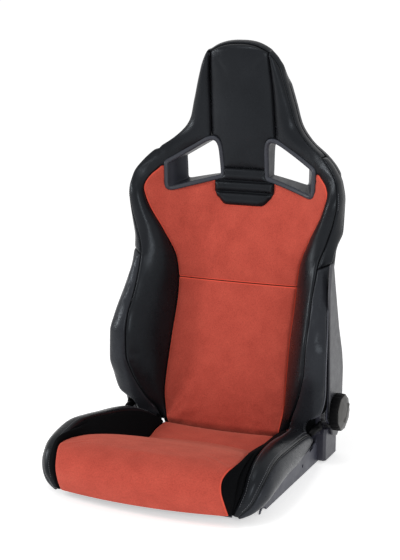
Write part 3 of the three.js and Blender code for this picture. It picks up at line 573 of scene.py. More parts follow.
def swell(obj, pressure, cap, slack=0.0):
    """Cloth simulation: the padding presses the cover outwards, by cap at most, between its sewn edges."""
    mesh = obj.data
    count = len(mesh.vertices)
    rest = np.empty(count * 3)
    mesh.vertices.foreach_get("co", rest)
    bm = bmesh.new()
    bm.from_mesh(mesh)
    held = sorted({v.index for edge in bm.edges if edge.is_boundary for v in edge.verts})
    bm.free()
    group = obj.vertex_groups.new(name="sewn")
    group.add(held, 1.0, "REPLACE")
    modifier = modify(obj, "CLOTH")
    settings = assign(
        modifier.settings, vertex_group_mass="sewn", quality=5, mass=0.3, air_damping=4, shrink_min=-slack,
        tension_stiffness=25, compression_stiffness=25, shear_stiffness=12, bending_stiffness=0.6,
        use_pressure=True, uniform_pressure_force=pressure,
    )
    settings.effector_weights.gravity = 0
    assign(modifier.point_cache, frame_start=1, frame_end=CLOTH_FRAMES)
    scene = bpy.context.scene
    for number in range(1, CLOTH_FRAMES + 1):
        scene.frame_set(number)
    evaluated = obj.evaluated_get(bpy.context.evaluated_depsgraph_get())
    moved = np.empty(count * 3)
    evaluated.data.vertices.foreach_get("co", moved)
    step = (moved - rest).reshape(-1, 3)
    length = np.linalg.norm(step, axis=1)
    limit = cap * MM
    share = limit * np.tanh(length / limit) / np.maximum(length, 1e-9)
    obj.modifiers.remove(modifier)
    obj.vertex_groups.remove(group)
    mesh.vertices.foreach_set("co", rest + (step * share[:, None]).ravel())
    mesh.update()
    scene.frame_set(1)


# ---------- cords, rows of stitches and lofted bodies
def circle(middle, side, up, radius, sides):
    """Points around a middle, in the plane of two directions."""
    angles = 2 * math.pi * np.arange(sides) / sides
    return middle + radius * (np.cos(angles)[:, None] * side + np.sin(angles)[:, None] * up)


def ring_faces(base, count, n, joined=False):
    """Faces of a body of count rings of n points; joined leads the last ring back to the first."""
    faces = []
    for j in range(count if joined else count - 1):
        low, high = base + j * n, base + (j + 1) % count * n
        faces += [(low + i, low + (i + 1) % n, high + (i + 1) % n, high + i) for i in range(n)]
    if not joined:
        faces += [tuple(base + j * n + i for i in range(n)) for j in (0, count - 1)]
    return faces


def loft(name, rings, joined=False):
    """A body through rings of points."""
    faces = ring_faces(0, len(rings), len(rings[0]), joined)
    obj = make_object(name, np.concatenate(rings), faces)
    weld(obj, 0.01)
    return obj


def tube(name, points, radius):
    """A round cord along points, closed at both ends."""
    p = np.asarray(points, float)
    along = np.gradient(p, axis=0)
    along /= np.linalg.norm(along, axis=1)[:, None]
    side = np.cross(along[0], (0.3, 0.5, 0.8))
    rings = []
    for k, direction in enumerate(along):
        side = unit(side - direction * np.dot(side, direction))
        rings.append(circle(p[k], side, np.cross(direction, side), radius, 8))
    return loft(name, rings)


PITCH = 5.0
STITCH_LENGTH = 3.4
STITCH_RADIUS = 0.55
STITCH_FORM = ((-0.5, 0.25), (-0.3, 0.95), (0, 1.1), (0.3, 0.95), (0.5, 0.25))  # shares of length and radius


def stitches(name, line, normals):
    """A row of stitches along a line of points, each a small thread lying on the surface."""
    p, n = np.asarray(line, float), np.asarray(normals, float)
    run = distances(p)
    rings, faces = [], []
    for s in np.arange(PITCH, run[-1] - PITCH, PITCH):
        middle, up = places_at(p, run, s), unit(places_at(n, run, s))
        along = unit(places_at(p, run, s + 1) - places_at(p, run, s - 1))
        across = np.cross(along, up)
        faces += ring_faces(6 * len(rings), len(STITCH_FORM), 6)
        for share, thick in STITCH_FORM:
            rings.append(circle(middle + along * share * STITCH_LENGTH, across, up, STITCH_RADIUS * thick, 6))
    obj = make_object(name, np.concatenate(rings), faces)
    weld(obj, 0.001)
    return obj


def plate(name, outlines, x0, x1, bevel):
    """A flat piece between x0 and x1 from outlines drawn as (y, z): its rim, then any holes."""
    curve = bpy.data.curves.new(name, "CURVE")
    assign(curve, dimensions="2D", fill_mode="BOTH", bevel_resolution=2)
    for outline in outlines:
        spline = curve.splines.new("POLY")
        spline.points.add(len(outline) - 1)
        for point, (y, z) in zip(spline.points, outline):
            point.co = (y * MM, z * MM, 0, 1)
        spline.use_cyclic_u = True
    curve.extrude = max(0.0, (x1 - x0) / 2 - bevel) * MM
    curve.bevel_depth = bevel * MM
    curve.offset = -bevel * MM
    holder = link(name + "_curve", curve)
    bpy.context.view_layer.update()
    mesh = bpy.data.meshes.new_from_object(holder.evaluated_get(bpy.context.evaluated_depsgraph_get()))
    bpy.data.objects.remove(holder)
    mesh.name = name
    middle = (x0 + x1) / 2 * MM
    mesh.transform(Matrix(((0, 0, 1, middle), (1, 0, 0, 0), (0, 1, 0, 0), (0, 0, 0, 1))))
    obj = link(name, mesh)
    weld(obj, 0.005)
    return obj


# ---------- materials
class Nodes:
    """Builds a material's node tree with short calls."""

    def __init__(self, name):
        self.material = bpy.data.materials.new(name)
        self.material.use_nodes = True
        self.tree = self.material.node_tree
        self.shader = self.tree.nodes["Principled BSDF"]

    def node(self, kind, inputs=None, **settings):
        made = assign(self.tree.nodes.new("ShaderNode" + kind), **settings)
        for key, value in (inputs or {}).items():
            self.put(made.inputs[key], value)
        return made

    def put(self, socket, value):
        if isinstance(value, bpy.types.NodeSocket):
            self.tree.links.new(value, socket)
        else:
            socket.default_value = value

    def set(self, **values):
        for key, value in values.items():
            self.put(self.shader.inputs[key.replace("_", " ")], value)
        return self.material

    def place(self, scale=(1, 1, 1)):
        """Object coordinates in metres, stretched."""
        where = self.node("TexCoord").outputs["Object"]
        return self.node("Mapping", {"Vector": where, "Scale": scale}).outputs["Vector"]

    def noise(self, scale, detail=2.0, roughness=0.5, stretch=(1, 1, 1)):
        inputs = {"Vector": self.place(stretch), "Scale": scale, "Detail": detail, "Roughness": roughness}
        return self.node("TexNoise", inputs).outputs["Fac"]

    def cells(self, scale):
        inputs = {"Vector": self.place(), "Scale": scale}
        return self.node("TexVoronoi", inputs, feature="DISTANCE_TO_EDGE").outputs["Distance"]

    def ramp(self, value, *stops):
        """Maps a value through (position, value or colour) stops."""
        made = self.node("ValToRGB", {"Fac": value})
        points = made.color_ramp.elements
        while len(points) < len(stops):
            points.new(0.5)
        for point, (position, shade) in zip(points, stops):
            point.position = position
            point.color = (*shade, 1) if isinstance(shade, tuple) else (shade, shade, shade, 1)
        return made.outputs["Color"]

    def maths(self, operation, a, b):
        return self.node("Math", {0: a, 1: b}, operation=operation).outputs[0]

    def blend(self, amount, a, b, kind="MIX"):
        inputs = {"Fac": amount, "Color1": a, "Color2": b}
        return self.node("MixRGB", inputs, blend_type=kind).outputs["Color"]

    def bump(self, height, distance, strength, below=None):
        """A normal with bumps; below is the normal of another texture under them."""
        inputs = {"Height": height, "Distance": distance, "Strength": strength}
        if below is not None:
            inputs["Normal"] = below
        return self.node("Bump", inputs).outputs["Normal"]

    def seam(self):
        """Distance in millimetres to the nearest sewn edge."""
        return self.node("Attribute", attribute_name="seam").outputs["Fac"]


RED = (0.40, 0.062, 0.042)
RED_LIGHT = (0.43, 0.070, 0.047)
RED_DARK = (0.365, 0.055, 0.037)
RED_EDGE_HIGHLIGHT = (0.72, 0.09, 0.055)  # painted highlight: the sheen on the cover's rolled edge beside a seam
# painted shade down in a seam
RED_SEAM_SHADE = (0.02, 0.004, 0.004)


def suede():
    n = Nodes("suede")
    mottle = n.noise(22, 3, 0.55)
    nap = n.noise(420, 4, 0.7)
    base = n.ramp(mottle, (0.3, RED_DARK), (0.5, RED), (0.72, RED_LIGHT))
    speckle = n.ramp(nap, (0.36, 0.8), (0.5, 1.0), (0.66, 1.14))
    base = n.blend(1.0, base, speckle, "MULTIPLY")
    seam = n.maths("MULTIPLY", n.seam(), 0.1)
    # Painted highlight: lighter from about 1 to 5 mm beside a seam, for the sheen on the rolled edge.
    edge = n.ramp(seam, (0.0, 0.0), (0.09, 0.0), (0.16, 1.0), (0.3, 0.75), (0.5, 0.0))
    base = n.blend(edge, base, (*RED_EDGE_HIGHLIGHT, 1))
    # Painted shade: near black within about a millimetre of a seam and on the allowance down in it.
    sunk = n.ramp(seam, (0.0, 1.0), (0.06, 1.0), (0.13, 0.0))
    base = n.blend(sunk, base, (*RED_SEAM_SHADE, 1))
    fibres = n.bump(n.noise(1400, 3, 0.65), 0.0006, 0.5)
    soft = n.bump(n.noise(60, 3, 0.5), 0.002, 0.35, fibres)
    return n.set(
        Base_Color=base, Roughness=0.95, Normal=soft, Specular_IOR_Level=0.1,
        Sheen_Weight=0.18, Sheen_Roughness=0.45, Sheen_Tint=(1.0, 0.42, 0.3, 1),
    )


LEATHER_TONES = ((0.3, (0.0050, 0.0053, 0.0064)), (0.7, (0.0085, 0.0091, 0.0108)))


def leather(name, wrinkles=0.0, shade=1.0):
    n = Nodes(name)
    tones = [(position, tuple(shade * c for c in tone)) for position, tone in LEATHER_TONES]
    base = n.ramp(n.noise(9, 3, 0.5), *tones)
    gloss = n.ramp(n.noise(28, 4, 0.6), (0.3, 0.24), (0.7, 0.34))
    grain = n.bump(n.cells(780), 0.0004, 0.35)
    fine = n.bump(n.noise(1500, 2, 0.6), 0.0002, 0.25, grain)
    normal = n.bump(n.noise(34, 3, 0.5), 0.003, 0.22, fine)
    if wrinkles:
        folds = n.noise(7, 2, 0.45, stretch=(0.8, 0.8, 6.5))
        normal = n.bump(folds, 0.012, wrinkles, normal)
    return n.set(
        Base_Color=base, Roughness=gloss, Normal=normal,
        Specular_IOR_Level=0.15, Specular_Tint=(0.82, 0.91, 1, 1),
    )


def cloth():
    n = Nodes("bolster_cloth")
    inputs = {"Vector": n.place(), "Scale": 260, "Distortion": 1.2, "Detail": 1}
    weave, cross = [n.node("TexWave", inputs, bands_direction=way).outputs["Fac"] for way in "XZ"]
    threads = n.maths("MULTIPLY", weave, cross)
    base = n.ramp(n.noise(500, 3, 0.6), (0.35, (0.0015, 0.0016, 0.0018)), (0.7, (0.004, 0.0042, 0.005)))
    normal = n.bump(threads, 0.0006, 0.4)
    return n.set(Base_Color=base, Roughness=0.92, Normal=normal, Specular_IOR_Level=0.03)


def plastic(name, colour, rough, grain=900, depth=0.35, worn=0.0, deep_shade=None, shine=0.5):
    """Moulded plastic; inside an opening, more than a few millimetres down, its colour is painted darker as
    shade.
    """
    n = Nodes(name)
    shade = n.ramp(n.noise(14, 3, 0.5), (0.3, 0.88), (0.7, 1.1))
    base = n.blend(1.0, (*colour, 1), shade, "MULTIPLY")
    if deep_shade:
        inside = n.ramp(n.maths("MULTIPLY", n.seam(), 0.02), (0.06, 0.0), (0.3, 1.0))
        base = n.blend(inside, base, (*deep_shade, 1))
    if worn:
        edges = n.ramp(n.node("NewGeometry").outputs["Pointiness"], (0.5, 0.0), (0.56, worn))
        base = n.blend(edges, base, tuple([min(1, 2.2 * c) for c in colour] + [1]))
    gloss = n.ramp(n.noise(60, 3, 0.6), (0.3, rough - 0.05), (0.7, rough + 0.06))
    normal = n.bump(n.noise(grain, 2, 0.6), 0.0003, depth)
    return n.set(Base_Color=base, Roughness=gloss, Normal=normal, Specular_IOR_Level=shine)


def metal(name, colour, rough, metallic, brushed=None):
    n = Nodes(name)
    shade = n.ramp(n.noise(18, 4, 0.6), (0.3, 0.85), (0.7, 1.1))
    base = n.blend(1.0, (*colour, 1), shade, "MULTIPLY")
    texture = n.noise(900, 2, 0.5, stretch=brushed) if brushed else n.noise(1100, 2, 0.6)
    gloss = n.ramp(n.noise(45, 3, 0.6), (0.3, rough - 0.05), (0.7, rough + 0.08))
    return n.set(Base_Color=base, Roughness=gloss, Metallic=metallic, Normal=n.bump(texture, 0.0002, 0.3))


def foam():
    n = Nodes("foam")
    base = n.ramp(n.noise(40, 4, 0.6), (0.3, (0.018, 0.018, 0.019)), (0.7, (0.028, 0.028, 0.030)))
    normal = n.bump(n.cells(700), 0.0006, 0.6)
    return n.set(Base_Color=base, Roughness=0.95, Normal=normal, Specular_IOR_Level=0.2)


def thread():
    n = Nodes("thread")
    twist = n.node("TexWave", {"Vector": n.place(), "Scale": 900, "Distortion": 0.5}).outputs["Fac"]
    base = n.ramp(twist, (0.2, (0.05, 0.053, 0.06)), (0.8, (0.13, 0.135, 0.15)))
    return n.set(Base_Color=base, Roughness=0.6, Normal=n.bump(twist, 0.0002, 0.4))


SUEDE = suede()
LEATHER = leather("leather")
# The side panels' leather: wrinkled, and painted light, its base colour 2.4 times lighter for the lamps'
# light on the side panels.
LEATHER_WRINKLED_LIT = leather("leather_wrinkled_lit", 0.1, 2.4)
CLOTH = cloth()
THREAD = thread()
PIPING = leather("piping_leather", 0.0, 0.5)
# Down the belt tunnel the bezel is painted darker, as shade.
BEZEL_TONE, TUNNEL_SHADE = (0.022, 0.024, 0.031), (0.011, 0.012, 0.017)
BEZEL_PLASTIC = plastic("bezel_plastic", BEZEL_TONE, 0.42, worn=0.5, deep_shade=TUNNEL_SHADE, shine=0.25)
SHELL_PLASTIC = plastic("shell_plastic", (0.014, 0.015, 0.018), 0.5, grain=500, depth=0.6)
COVER_PLASTIC = plastic("cover_plastic", (0.035, 0.036, 0.042), 0.42)
BRACKET_PLASTIC = plastic("bracket_plastic", (0.014, 0.014, 0.022), 0.4, worn=0.4)
KNOB_BLACK = plastic("knob_black", (0.003, 0.003, 0.0035), 0.5, shine=0.07)
KNOB_GREY = plastic("knob_grey", (0.075, 0.073, 0.07), 0.45, grain=350, depth=0.8, shine=0.3)
TRIM_GREY = plastic("trim_grey", (0.05, 0.053, 0.066), 0.35)
FOAM = foam()
PAINTED = metal("painted_steel", (0.042, 0.044, 0.062), 0.42, 0.0)
STEEL = metal("bare_steel", (0.4, 0.4, 0.42), 0.32, 1.0, brushed=(1, 12, 1))


def finished(obj, material, body, slot, *nodes, fill=None):
    """Gives a piece its material and its body, and hides the nodes that it stands for; slot is not used."""
    obj.data.materials.clear()
    obj.data.materials.append(material)
    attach(obj, body)
    if nodes:
        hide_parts(*nodes)
    return obj


def both(right, material, body, slot, *nodes, fill=None):
    """Finishes a right-hand piece and its mirror image; nodes are named without their side."""
    left = mirror_copy(right, right.name.replace("right_", "left_"))
    for obj, side in ((right, "right_"), (left, "left_")):
        finished(obj, material, body, slot, *[side + node for node in nodes], fill=fill)
    return right, left


# ---------- backrest covers
GAP = 0.05  # half the gap along a sewn seam
HEAD_TOP = {"seam": 932.5, "ridge": 897}
SEAM_DROP = 5  # the head panel's top seam lies this far below the crown
STRIP_Z = 700  # the side strip is sewn to the head strip here
WAIST_RISE = 11  # the seam across the side panel rises towards the rear
TUCK = 34  # how far the covers run down behind the cushion
COVER_FOOT = {"seam": 64, "ridge": 70, "edge": 86}  # the covers reach a little lower than their foam
SPLIT = 0.716  # share of the head wing's foot that lies inboard of the bolster


def across(a, b, t, crown):
    """A point between two columns, raised by a crown in the level plane."""
    step = b - a
    out = unit(vec(step[1], -step[0], 0))
    return mix(a, b, t) + out * crown * 4 * t * (1 - t)


def inset(a, b, u):
    margin = GAP / np.linalg.norm(b - a)
    return mix(margin, 1 - margin, u)


def tucked(p, foot):
    """Below its foot a cover runs on, down behind the cushion."""
    return p + vec(0, 0.6 * max(0, foot - p[2]), 0)


def insert_sheet(z0, z1, rows):
    def surface(u, v):
        z = mix(z0, z1, v)
        return tucked(insert_point((2 * u - 1) * (1 - GAP / seam_x(z)), z), COVER_FOOT["seam"])

    return grid(surface, 64, rows)


BOLSTER_CROWN = 6  # how far the bolster crowns between its seams; twice that along the shoulder


def bolster_point(u, z):
    a, b = SEAM_LINE(z), RIDGE_LINE(z)
    t = inset(a, b, u)
    extra = BOLSTER_CROWN * smooth(400, 480, z) * (1 - smooth(560, 640, z))
    crown = BOLSTER_CROWN * smooth(62, 200, z) + extra
    x = mix(seam_x(z), ridge_x(z), t)
    return mix(across(a, b, t, crown), vec(x, shoulder_y(x, z), z), smooth(590, WING_Z, z))


def wing_top(t):
    """Height of the wing's rounded upper corner."""
    return mix(HEAD_TOP["seam"], HEAD_TOP["ridge"], t**4)


LOW_ROWS = 104  # rows of points up the bolster, and up the wing
HIGH_ROWS = 54
HALF_COLUMNS = 22  # columns of points across the bolster, and as many more across the wing's inner part


def shoulder_sheet():
    """The bolster and the head wing above it, in one piece of leather."""
    points, faces = [], []
    start = []
    for j in range(LOW_ROWS + HIGH_ROWS + 1):
        low = j < LOW_ROWS
        first = HALF_COLUMNS if low else 0
        start.append(len(points) - first)
        for i in range(first, 2 * HALF_COLUMNS + 1):
            u = (i - HALF_COLUMNS) / HALF_COLUMNS
            if low:
                foot = mix(COVER_FOOT["seam"], COVER_FOOT["ridge"], u)
                points.append(tucked(bolster_point(u, mix(foot - TUCK, WING_Z, j / LOW_ROWS)), foot))
                continue
            t = SPLIT * i / HALF_COLUMNS if u <= 0 else mix(SPLIT, 1, u)
            z = mix(WING_Z, wing_top(t), (j - LOW_ROWS) / HIGH_ROWS)
            if j == LOW_ROWS and u >= 0:
                points.append(bolster_point(u, z))
                continue
            margin = GAP / (ridge_x(z) - head_x(z))
            points.append(wing_point(mix(margin, 1 - margin, t), z))
    for j, (a, b) in enumerate(zip(start, start[1:])):
        first = HALF_COLUMNS if j < LOW_ROWS else 0
        faces += [(a + i, a + i + 1, b + i + 1, b + i) for i in range(first, 2 * HALF_COLUMNS)]
    return np.array(points), faces


def strip_sheet(low, high, crown, columns, rows, tuck=0):
    """The side panel between the piped ridge and the outer edge; low and high are (ridge, edge) heights."""

    def surface(u, v):
        foot = mix(low[0], low[1], u)
        z = mix(foot - tuck, mix(high[0], high[1], u), v)
        a, b = RIDGE_LINE(max(z, foot)), EDGE_LINE(max(z, foot))
        p = across(a, b, inset(a, b, u), crown)
        return tucked(vec(p[0], p[1], z), foot)

    return grid(surface, columns, rows)


def head_front(x):
    """The top seam of the head panel."""
    z = crown_z(x) - SEAM_DROP
    return vec(x, mix(centre_y(z), head_seam_y(z), (x / head_x(z)) ** 2), z)


def behind(p):
    """A point on the rear edge of the head strip."""
    return p + 6 * unit(vec(0.6 * p[0], 0, p[2] - 885)) + vec(0, 20, 0)


# The head strip runs up one side of the head, over the top and down the other side. These are its
# front and rear edges: half of each, then both in full.
STRIP_SIDE = [STRIP_Z + k * 18 for k in range(11)]
STRIP_CORNER = [wing_point(t, wing_top(t)) for t in (1, 0.9, 0.75, 0.45)]
STRIP_TOP = [*STRIP_CORNER, *[head_front(x) for x in (72, 56, 38, 19)]]
HALF_FRONT = [*[RIDGE_LINE(z) for z in STRIP_SIDE], *STRIP_TOP]
HALF_REAR = [*[EDGE_LINE(z) for z in STRIP_SIDE], *[behind(p) for p in STRIP_TOP]]
MIRROR = np.array((-1, 1, 1))
STRIP_FRONT, STRIP_REAR = [
    curve3([*half, top, *[p * MIRROR for p in reversed(half)]])
    for half, top in ((HALF_FRONT, head_front(0)), (HALF_REAR, behind(head_front(0))))
]


def head_strip_surface(u, v):
    a, b = STRIP_FRONT(v), STRIP_REAR(v)
    return mix(a, b, inset(a, b, u))


def head_panel_surface(u, v):
    side = 2 * u - 1
    z = mix(NECK_TOP - 3, crown_z(side * HEAD_HALF) - SEAM_DROP, v)
    return vec(side * (head_x(z) - GAP), mix(centre_y(z), head_seam_y(z), side**2), z)


def neck_surface(u, v):
    x, z = mix(-81, 81, u), mix(NECK_FOOT - 3, NECK_TOP + 3, v)
    return vec(x, mix(centre_y(z), shoulder_y(x, z), 0.9) - 1, z)


BELTS = [BELT_OUTLINE, BELT_OUTLINE * (-1, 1)]
UNDER_BEZEL = 5  # the covers run on under the bezel's flange by this much
BELT_RIMS = [inset_outline(outline, UNDER_BEZEL) for outline in BELTS]
NECK_HOLE = inset_outline(NECK_OUTLINE, 2)  # the insert runs on a little under the neck bands

FRONT = (0, -1, 0)
SIDE_FOOT = (COVER_FOOT["ridge"], COVER_FOOT["edge"])
SIDE_WAIST = (WAIST_Z, WAIST_Z + WAIST_RISE)

sheet = insert_sheet(COVER_FOOT["seam"] - TUCK, BACK_SPLIT_Z - GAP, 74)
insert_lower = cut_cover("back_insert_cover_lower", sheet, FRONT)
sheet = trimmed(*insert_sheet(BACK_SPLIT_Z + GAP, WING_Z + 4, 54), [*BELT_RIMS, NECK_HOLE])
insert_upper = cut_cover("back_insert_cover_upper", sheet, FRONT)
shoulder = cut_cover("right_shoulder_cover", trimmed(*shoulder_sheet(), [BELT_RIMS[0]]), (-0.3, -1, 0))
lumbar = cut_cover("right_lumbar_cover", strip_sheet(SIDE_FOOT, SIDE_WAIST, 3, 12, 80, tuck=24), (1, -0.2, 0))
sheet = strip_sheet(SIDE_WAIST, (STRIP_Z, STRIP_Z), 2, 10, 52)
shoulder_strip = cut_cover("right_shoulder_strip", sheet, (1, 0, 0))
head_strip = cut_cover("head_strip", grid(head_strip_surface, 8, 150), (0, 0, 1))
head_panel = cut_cover("head_panel_cover", trimmed(*grid(head_panel_surface, 34, 66), BELT_RIMS), FRONT)
sheet = trimmed(*grid(neck_surface, 64, 36), [NECK_OUTLINE], keep_inside=True)
neck = cut_cover("neck_bands", trimmed(*sheet, BELT_RIMS), FRONT)


# ---------- belt bezels
FLANGE = [
    (0, -4), (0, 0.5), (0.5, 2), (1.5, 3.2), (3, 4), (5.5, 4.2), (8, 3.6), (9.5, 2.4), (10.6, 0.8),
    (BEZEL, -1.5),
]  # distance inside the belt opening's rim, and height above the shoulder
TUNNEL_SKIN = 8  # the tunnel's outer wall starts this far inside the rim
TUNNEL_SHARES = (0.12, 0.5, 0.9)


def lean(x, z, depth):
    """A place in the belt opening after a share of the tunnel's depth."""
    share = clamp01((x - 60) / 120)
    return x - TUNNEL_LEAN[0] * share * depth, z + TUNNEL_LEAN[1] * share * depth


def belt_bezel():
    """A flange that follows the shoulder, and a funnel that leans to the back of the shell."""
    steps = {d: inset_outline(BELT_OUTLINE, d) for d, _ in FLANGE}
    rings = []
    for k, (x, z) in enumerate(BELT_OUTLINE):
        y = shoulder_y(x, z)
        mouth, lip = steps[BEZEL][k], steps[TUNNEL_SKIN][k]
        (tail_x, tail_z), (skin_x, skin_z) = lean(*mouth, 1), lean(*lip, 1)
        end = tunnel_end(tail_x, tail_z)
        ring = [vec(steps[d][k][0], y - lift, steps[d][k][1]) for d, lift in FLANGE]
        for t in TUNNEL_SHARES:
            funnel_x, funnel_z = lean(*mouth, t)
            ring.append(vec(funnel_x, mix(y, end, t), funnel_z))
        ring += [vec(tail_x, end, tail_z), vec(skin_x, end, skin_z), vec(lip[0], y + 5, lip[1])]
        rings.append(np.array(ring))
    return loft("right_bezel", rings, joined=True)


def tunnel_end(x, z):
    """How far back a belt tunnel runs: to just inside the shell."""
    ratio = clamp01(abs(x) / edge_x(z))
    a = math.acos(ratio ** (1 / 0.9))
    return mix(edge_y(z), rear_y(z), math.sin(a) ** shell_power(z)) - 2


def shell_power(z):
    return mix(0.95, 1.45, smooth(450, 600, z))


bezel = belt_bezel()
# Its "seam" values are depths below the shoulder, so that the material is painted darker into the tunnel, as
# shade.
depths = [v.co.y / MM - shoulder_y(v.co.x / MM, v.co.z / MM) for v in bezel.data.vertices]
bezel.data.attributes.new("seam", "FLOAT", "POINT").data.foreach_set("value", depths)
both(bezel, BEZEL_PLASTIC, "backrest", "bezel_plastic", "belt_bezel")


# ---------- back shell
SHELL_FOOT = {"side": 168, "middle": 84}
SHELL = 4  # wall
FLANK = 0.22  # share of a half that is the shell's flat side
FLANK_Y = 168  # the flat side runs back to here where the backrest is thin


def shell_point(w, z):
    """Outer face of the shell, from its edge (0) to the middle of the back (1)."""
    start = mix(min(edge_x(z), SHELL_LIP), edge_x(z), smooth(470, 530, z))
    side = min(start, SHELL_HALF)
    a, b = RIDGE_LINE(z), EDGE_LINE(z)
    front = edge_y(z) + COVER * max(0, unit(vec(a[1] - b[1], b[0] - a[0], 0))[1]) + 3
    flank = 0 if z > WAIST_Z else smooth(WAIST_Z, 380, z)
    corner = mix(front + 10, max(front + 10, FLANK_Y), flank)
    if w < FLANK:
        return vec(mix(start, side, w / FLANK), mix(front, corner, w / FLANK), z)
    turn = (w - FLANK) / (1 - FLANK) * math.pi / 2
    return vec(side * math.cos(turn) ** 0.9, mix(corner, rear_y(z), math.sin(turn) ** shell_power(z)), z)


def shell_top(w):
    reach = shell_point(w, HEAD_TOP["ridge"])[0]
    return mix(937, HEAD_TOP["ridge"], (reach - HEAD_HALF) / 15) if reach > HEAD_HALF else crown_z(reach) - 1


def shell_surface(u, v):
    """The shell from side to side, u, and from its foot to its top, v."""
    w = 1 - abs(2 * u - 1)
    foot = mix(SHELL_FOOT["side"], SHELL_FOOT["middle"], smooth(0.5, 0.8, w))
    p = shell_point(w, mix(foot, shell_top(w), v))
    return vec(math.copysign(p[0], 2 * u - 1), p[1], p[2])


shell = make_object("back_shell_cover", *trimmed(*grid(shell_surface, 120, 130), BELTS))
weld(shell)
face_outwards(shell, (0, 1, 0.2))
thicken(shell, SHELL)
finished(shell, SHELL_PLASTIC, "backrest", "shell_plastic", "back_shell")


SKIN = 1.6  # thickness of the plain skins that close gaps
BACK_STRIP_ROWS = 160


def from_head(p):
    """The direction away from the middle of the head, in the front view."""
    return unit(vec(p[0], 0, p[2] - 880))


def head_back_strip():
    """Leather from the head strip's rear edge to the rim of the shell, over the top of the head."""
    rim = [shell_surface(u, 1) + vec(0, 1, -2.5) for u in np.linspace(0, 1, 241)]
    edge = [STRIP_REAR(v) for v in np.linspace(0, 1, 601)]
    edge = [p - vec(0, 4, 0) - 1.5 * from_head(p) for p in edge if p[2] > rim[0][2] - 6]
    if edge[0][0] * rim[0][0] < 0:
        rim.reverse()
    front, rear = evenly(edge, BACK_STRIP_ROWS + 1), evenly(rim, BACK_STRIP_ROWS + 1)

    def surface(u, v):
        k = round(v * BACK_STRIP_ROWS)
        return mix(front[k], rear[k], u) + 6 * u * (1 - u) * from_head(front[k])

    obj = make_object("head_back_strip", *grid(surface, 8, BACK_STRIP_ROWS))
    face_outwards(obj, (0, 0.3, 1))
    thicken(obj, SKIN)
    return obj


finished(head_back_strip(), LEATHER, "backrest", "leather")


# ---------- seat cushion covers
def cushion_normal(i, v):
    """Outward normal of the strip between cushion lines i and i + 1."""
    a, b = CUSHION_LINES[i], CUSHION_LINES[i + 1]
    low, high = max(0, v - 0.01), min(1, v + 0.01)
    along = a(high) - a(low) + b(high) - b(low)
    return -unit(np.cross(b(v) - a(v), along))


FOLD = 0.66  # where the inner panel folds in front, below its seam with the leather
FOLD_WIDTH = 0.06
INNER, TOP, FLANK_STRIP = range(3)  # the strips between the four cushion lines
top_swell = through([(0, 8), (0.35, 9), (0.5, 12), (0.8, 12), (1, 8)])
flank_swell = through([(0, 6), (0.35, 8), (0.55, 12), (0.85, 11), (1, 7)])


def cushion_crown(i, t, v):
    """How far strip i crowns at a share t of its width; the inner one bulges on both sides of its fold."""
    arch = 4 * t * (1 - t)
    if i == FLANK_STRIP:
        return flank_swell(v) * arch
    if i == TOP:
        return top_swell(v) * arch
    front = smooth(0.42, 0.55, v)
    share = t / FOLD if t < FOLD else (t - FOLD) / (1 - FOLD)
    crease = 3 * math.exp(-(((t - FOLD) / FOLD_WIDTH) ** 2))
    puffed = (9 if t < FOLD else 4) * math.sin(math.pi * share) - crease
    return mix(5 * arch * (1 - smooth(0.18, 0.32, v)), puffed, front)


def cushion_sheet(i, columns, rows):
    def surface(u, v):
        a, b = CUSHION_LINES[i](v), CUSHION_LINES[i + 1](v)
        width = np.linalg.norm(b - a)
        margin = min(0.12, 1.5 * GAP / width)
        t = mix(margin, 1 - margin, u)
        return mix(a, b, t) + cushion_normal(i, v) * cushion_crown(i, t, v) * min(1, width / 60)

    return grid(surface, columns, rows)


def cushion_insert_surface(u, v):
    return cushion_insert_point((2 * u - 1) * (1 - GAP / INSERT_LINE(v)[0]), v)


CREASES = ((-118, 9, 5, 0.9), (-150, -6, 7, 0.7), (-196, 5, 9, 0.6))  # y, bend, width and depth


def roll_creases(points):
    """Faint creases that run across the crest of the front roll."""
    x, y, z = points.T
    depth = np.zeros(len(points))
    for y0, bend, width, amount in CREASES:
        middle = y0 + bend * np.cos(x / 70) + 4 * np.sin(x / 31)
        share = np.exp(-(((y - middle) / width) ** 2)) * np.exp(-((x / 150) ** 4))
        depth -= amount * share * (z > 60)
    return depth


seat_insert = cut_cover("seat_insert_cover", grid(cushion_insert_surface, 76, 120), (0, -0.6, 1))
seat_inner = cut_cover("right_seat_inner", cushion_sheet(INNER, 26, 90), (-1, -0.6, 0.4))
seat_top = cut_cover("right_seat_top", cushion_sheet(TOP, 22, 96), (0, -0.4, 1))
seat_flank = cut_cover("right_seat_flank", cushion_sheet(FLANK_STRIP, 18, 96), (1, -0.1, 0.1))


# ---------- sewing and padding
SEWING = sewing_table()
RED_PRESS = (3.0, 4.0)  # pressure, and how far the cover may move
LEATHER_PRESS = (4.0, 4.0)

for insert, node in ((insert_lower, "back_insert_lower"), (insert_upper, "back_insert_upper")):
    pad(insert, puff=5, spread=34, roll=4, press=RED_PRESS, fine=BACK_SPLIT_Z)
    finished(insert, SUEDE, "backrest", "suede", node, fill=0.7)
pad(shoulder, puff=4, spread=18, roll=4, press=LEATHER_PRESS)
both(shoulder, LEATHER, "backrest", "leather", "back_bolster", "head_wing", fill=0.75)
pad(lumbar, puff=3, spread=16, roll=3, press=(3.0, 3.0, 0.003))
both(lumbar, LEATHER_WRINKLED_LIT, "backrest", "leather", "lumbar_side", fill=0.6)
pad(shoulder_strip, puff=2, spread=10, roll=2.5)
both(shoulder_strip, LEATHER, "backrest", "leather", "shoulder_side", fill=0.6)
pad(head_strip, puff=1.5, spread=8, roll=2.5)
finished(head_strip, LEATHER, "backrest", "leather", "left_head_side", "right_head_side", fill=0.6)
pad(head_panel, puff=6, spread=14, roll=4, press=(3.0, 4.0))
finished(head_panel, LEATHER, "backrest", "leather", "head_panel", fill=0.75)
pad(neck, puff=10, spread=7, roll=4, channels=NECK_CHANNELS)
finished(neck, LEATHER, "backrest", "leather", "neck_pad", fill=0.85)

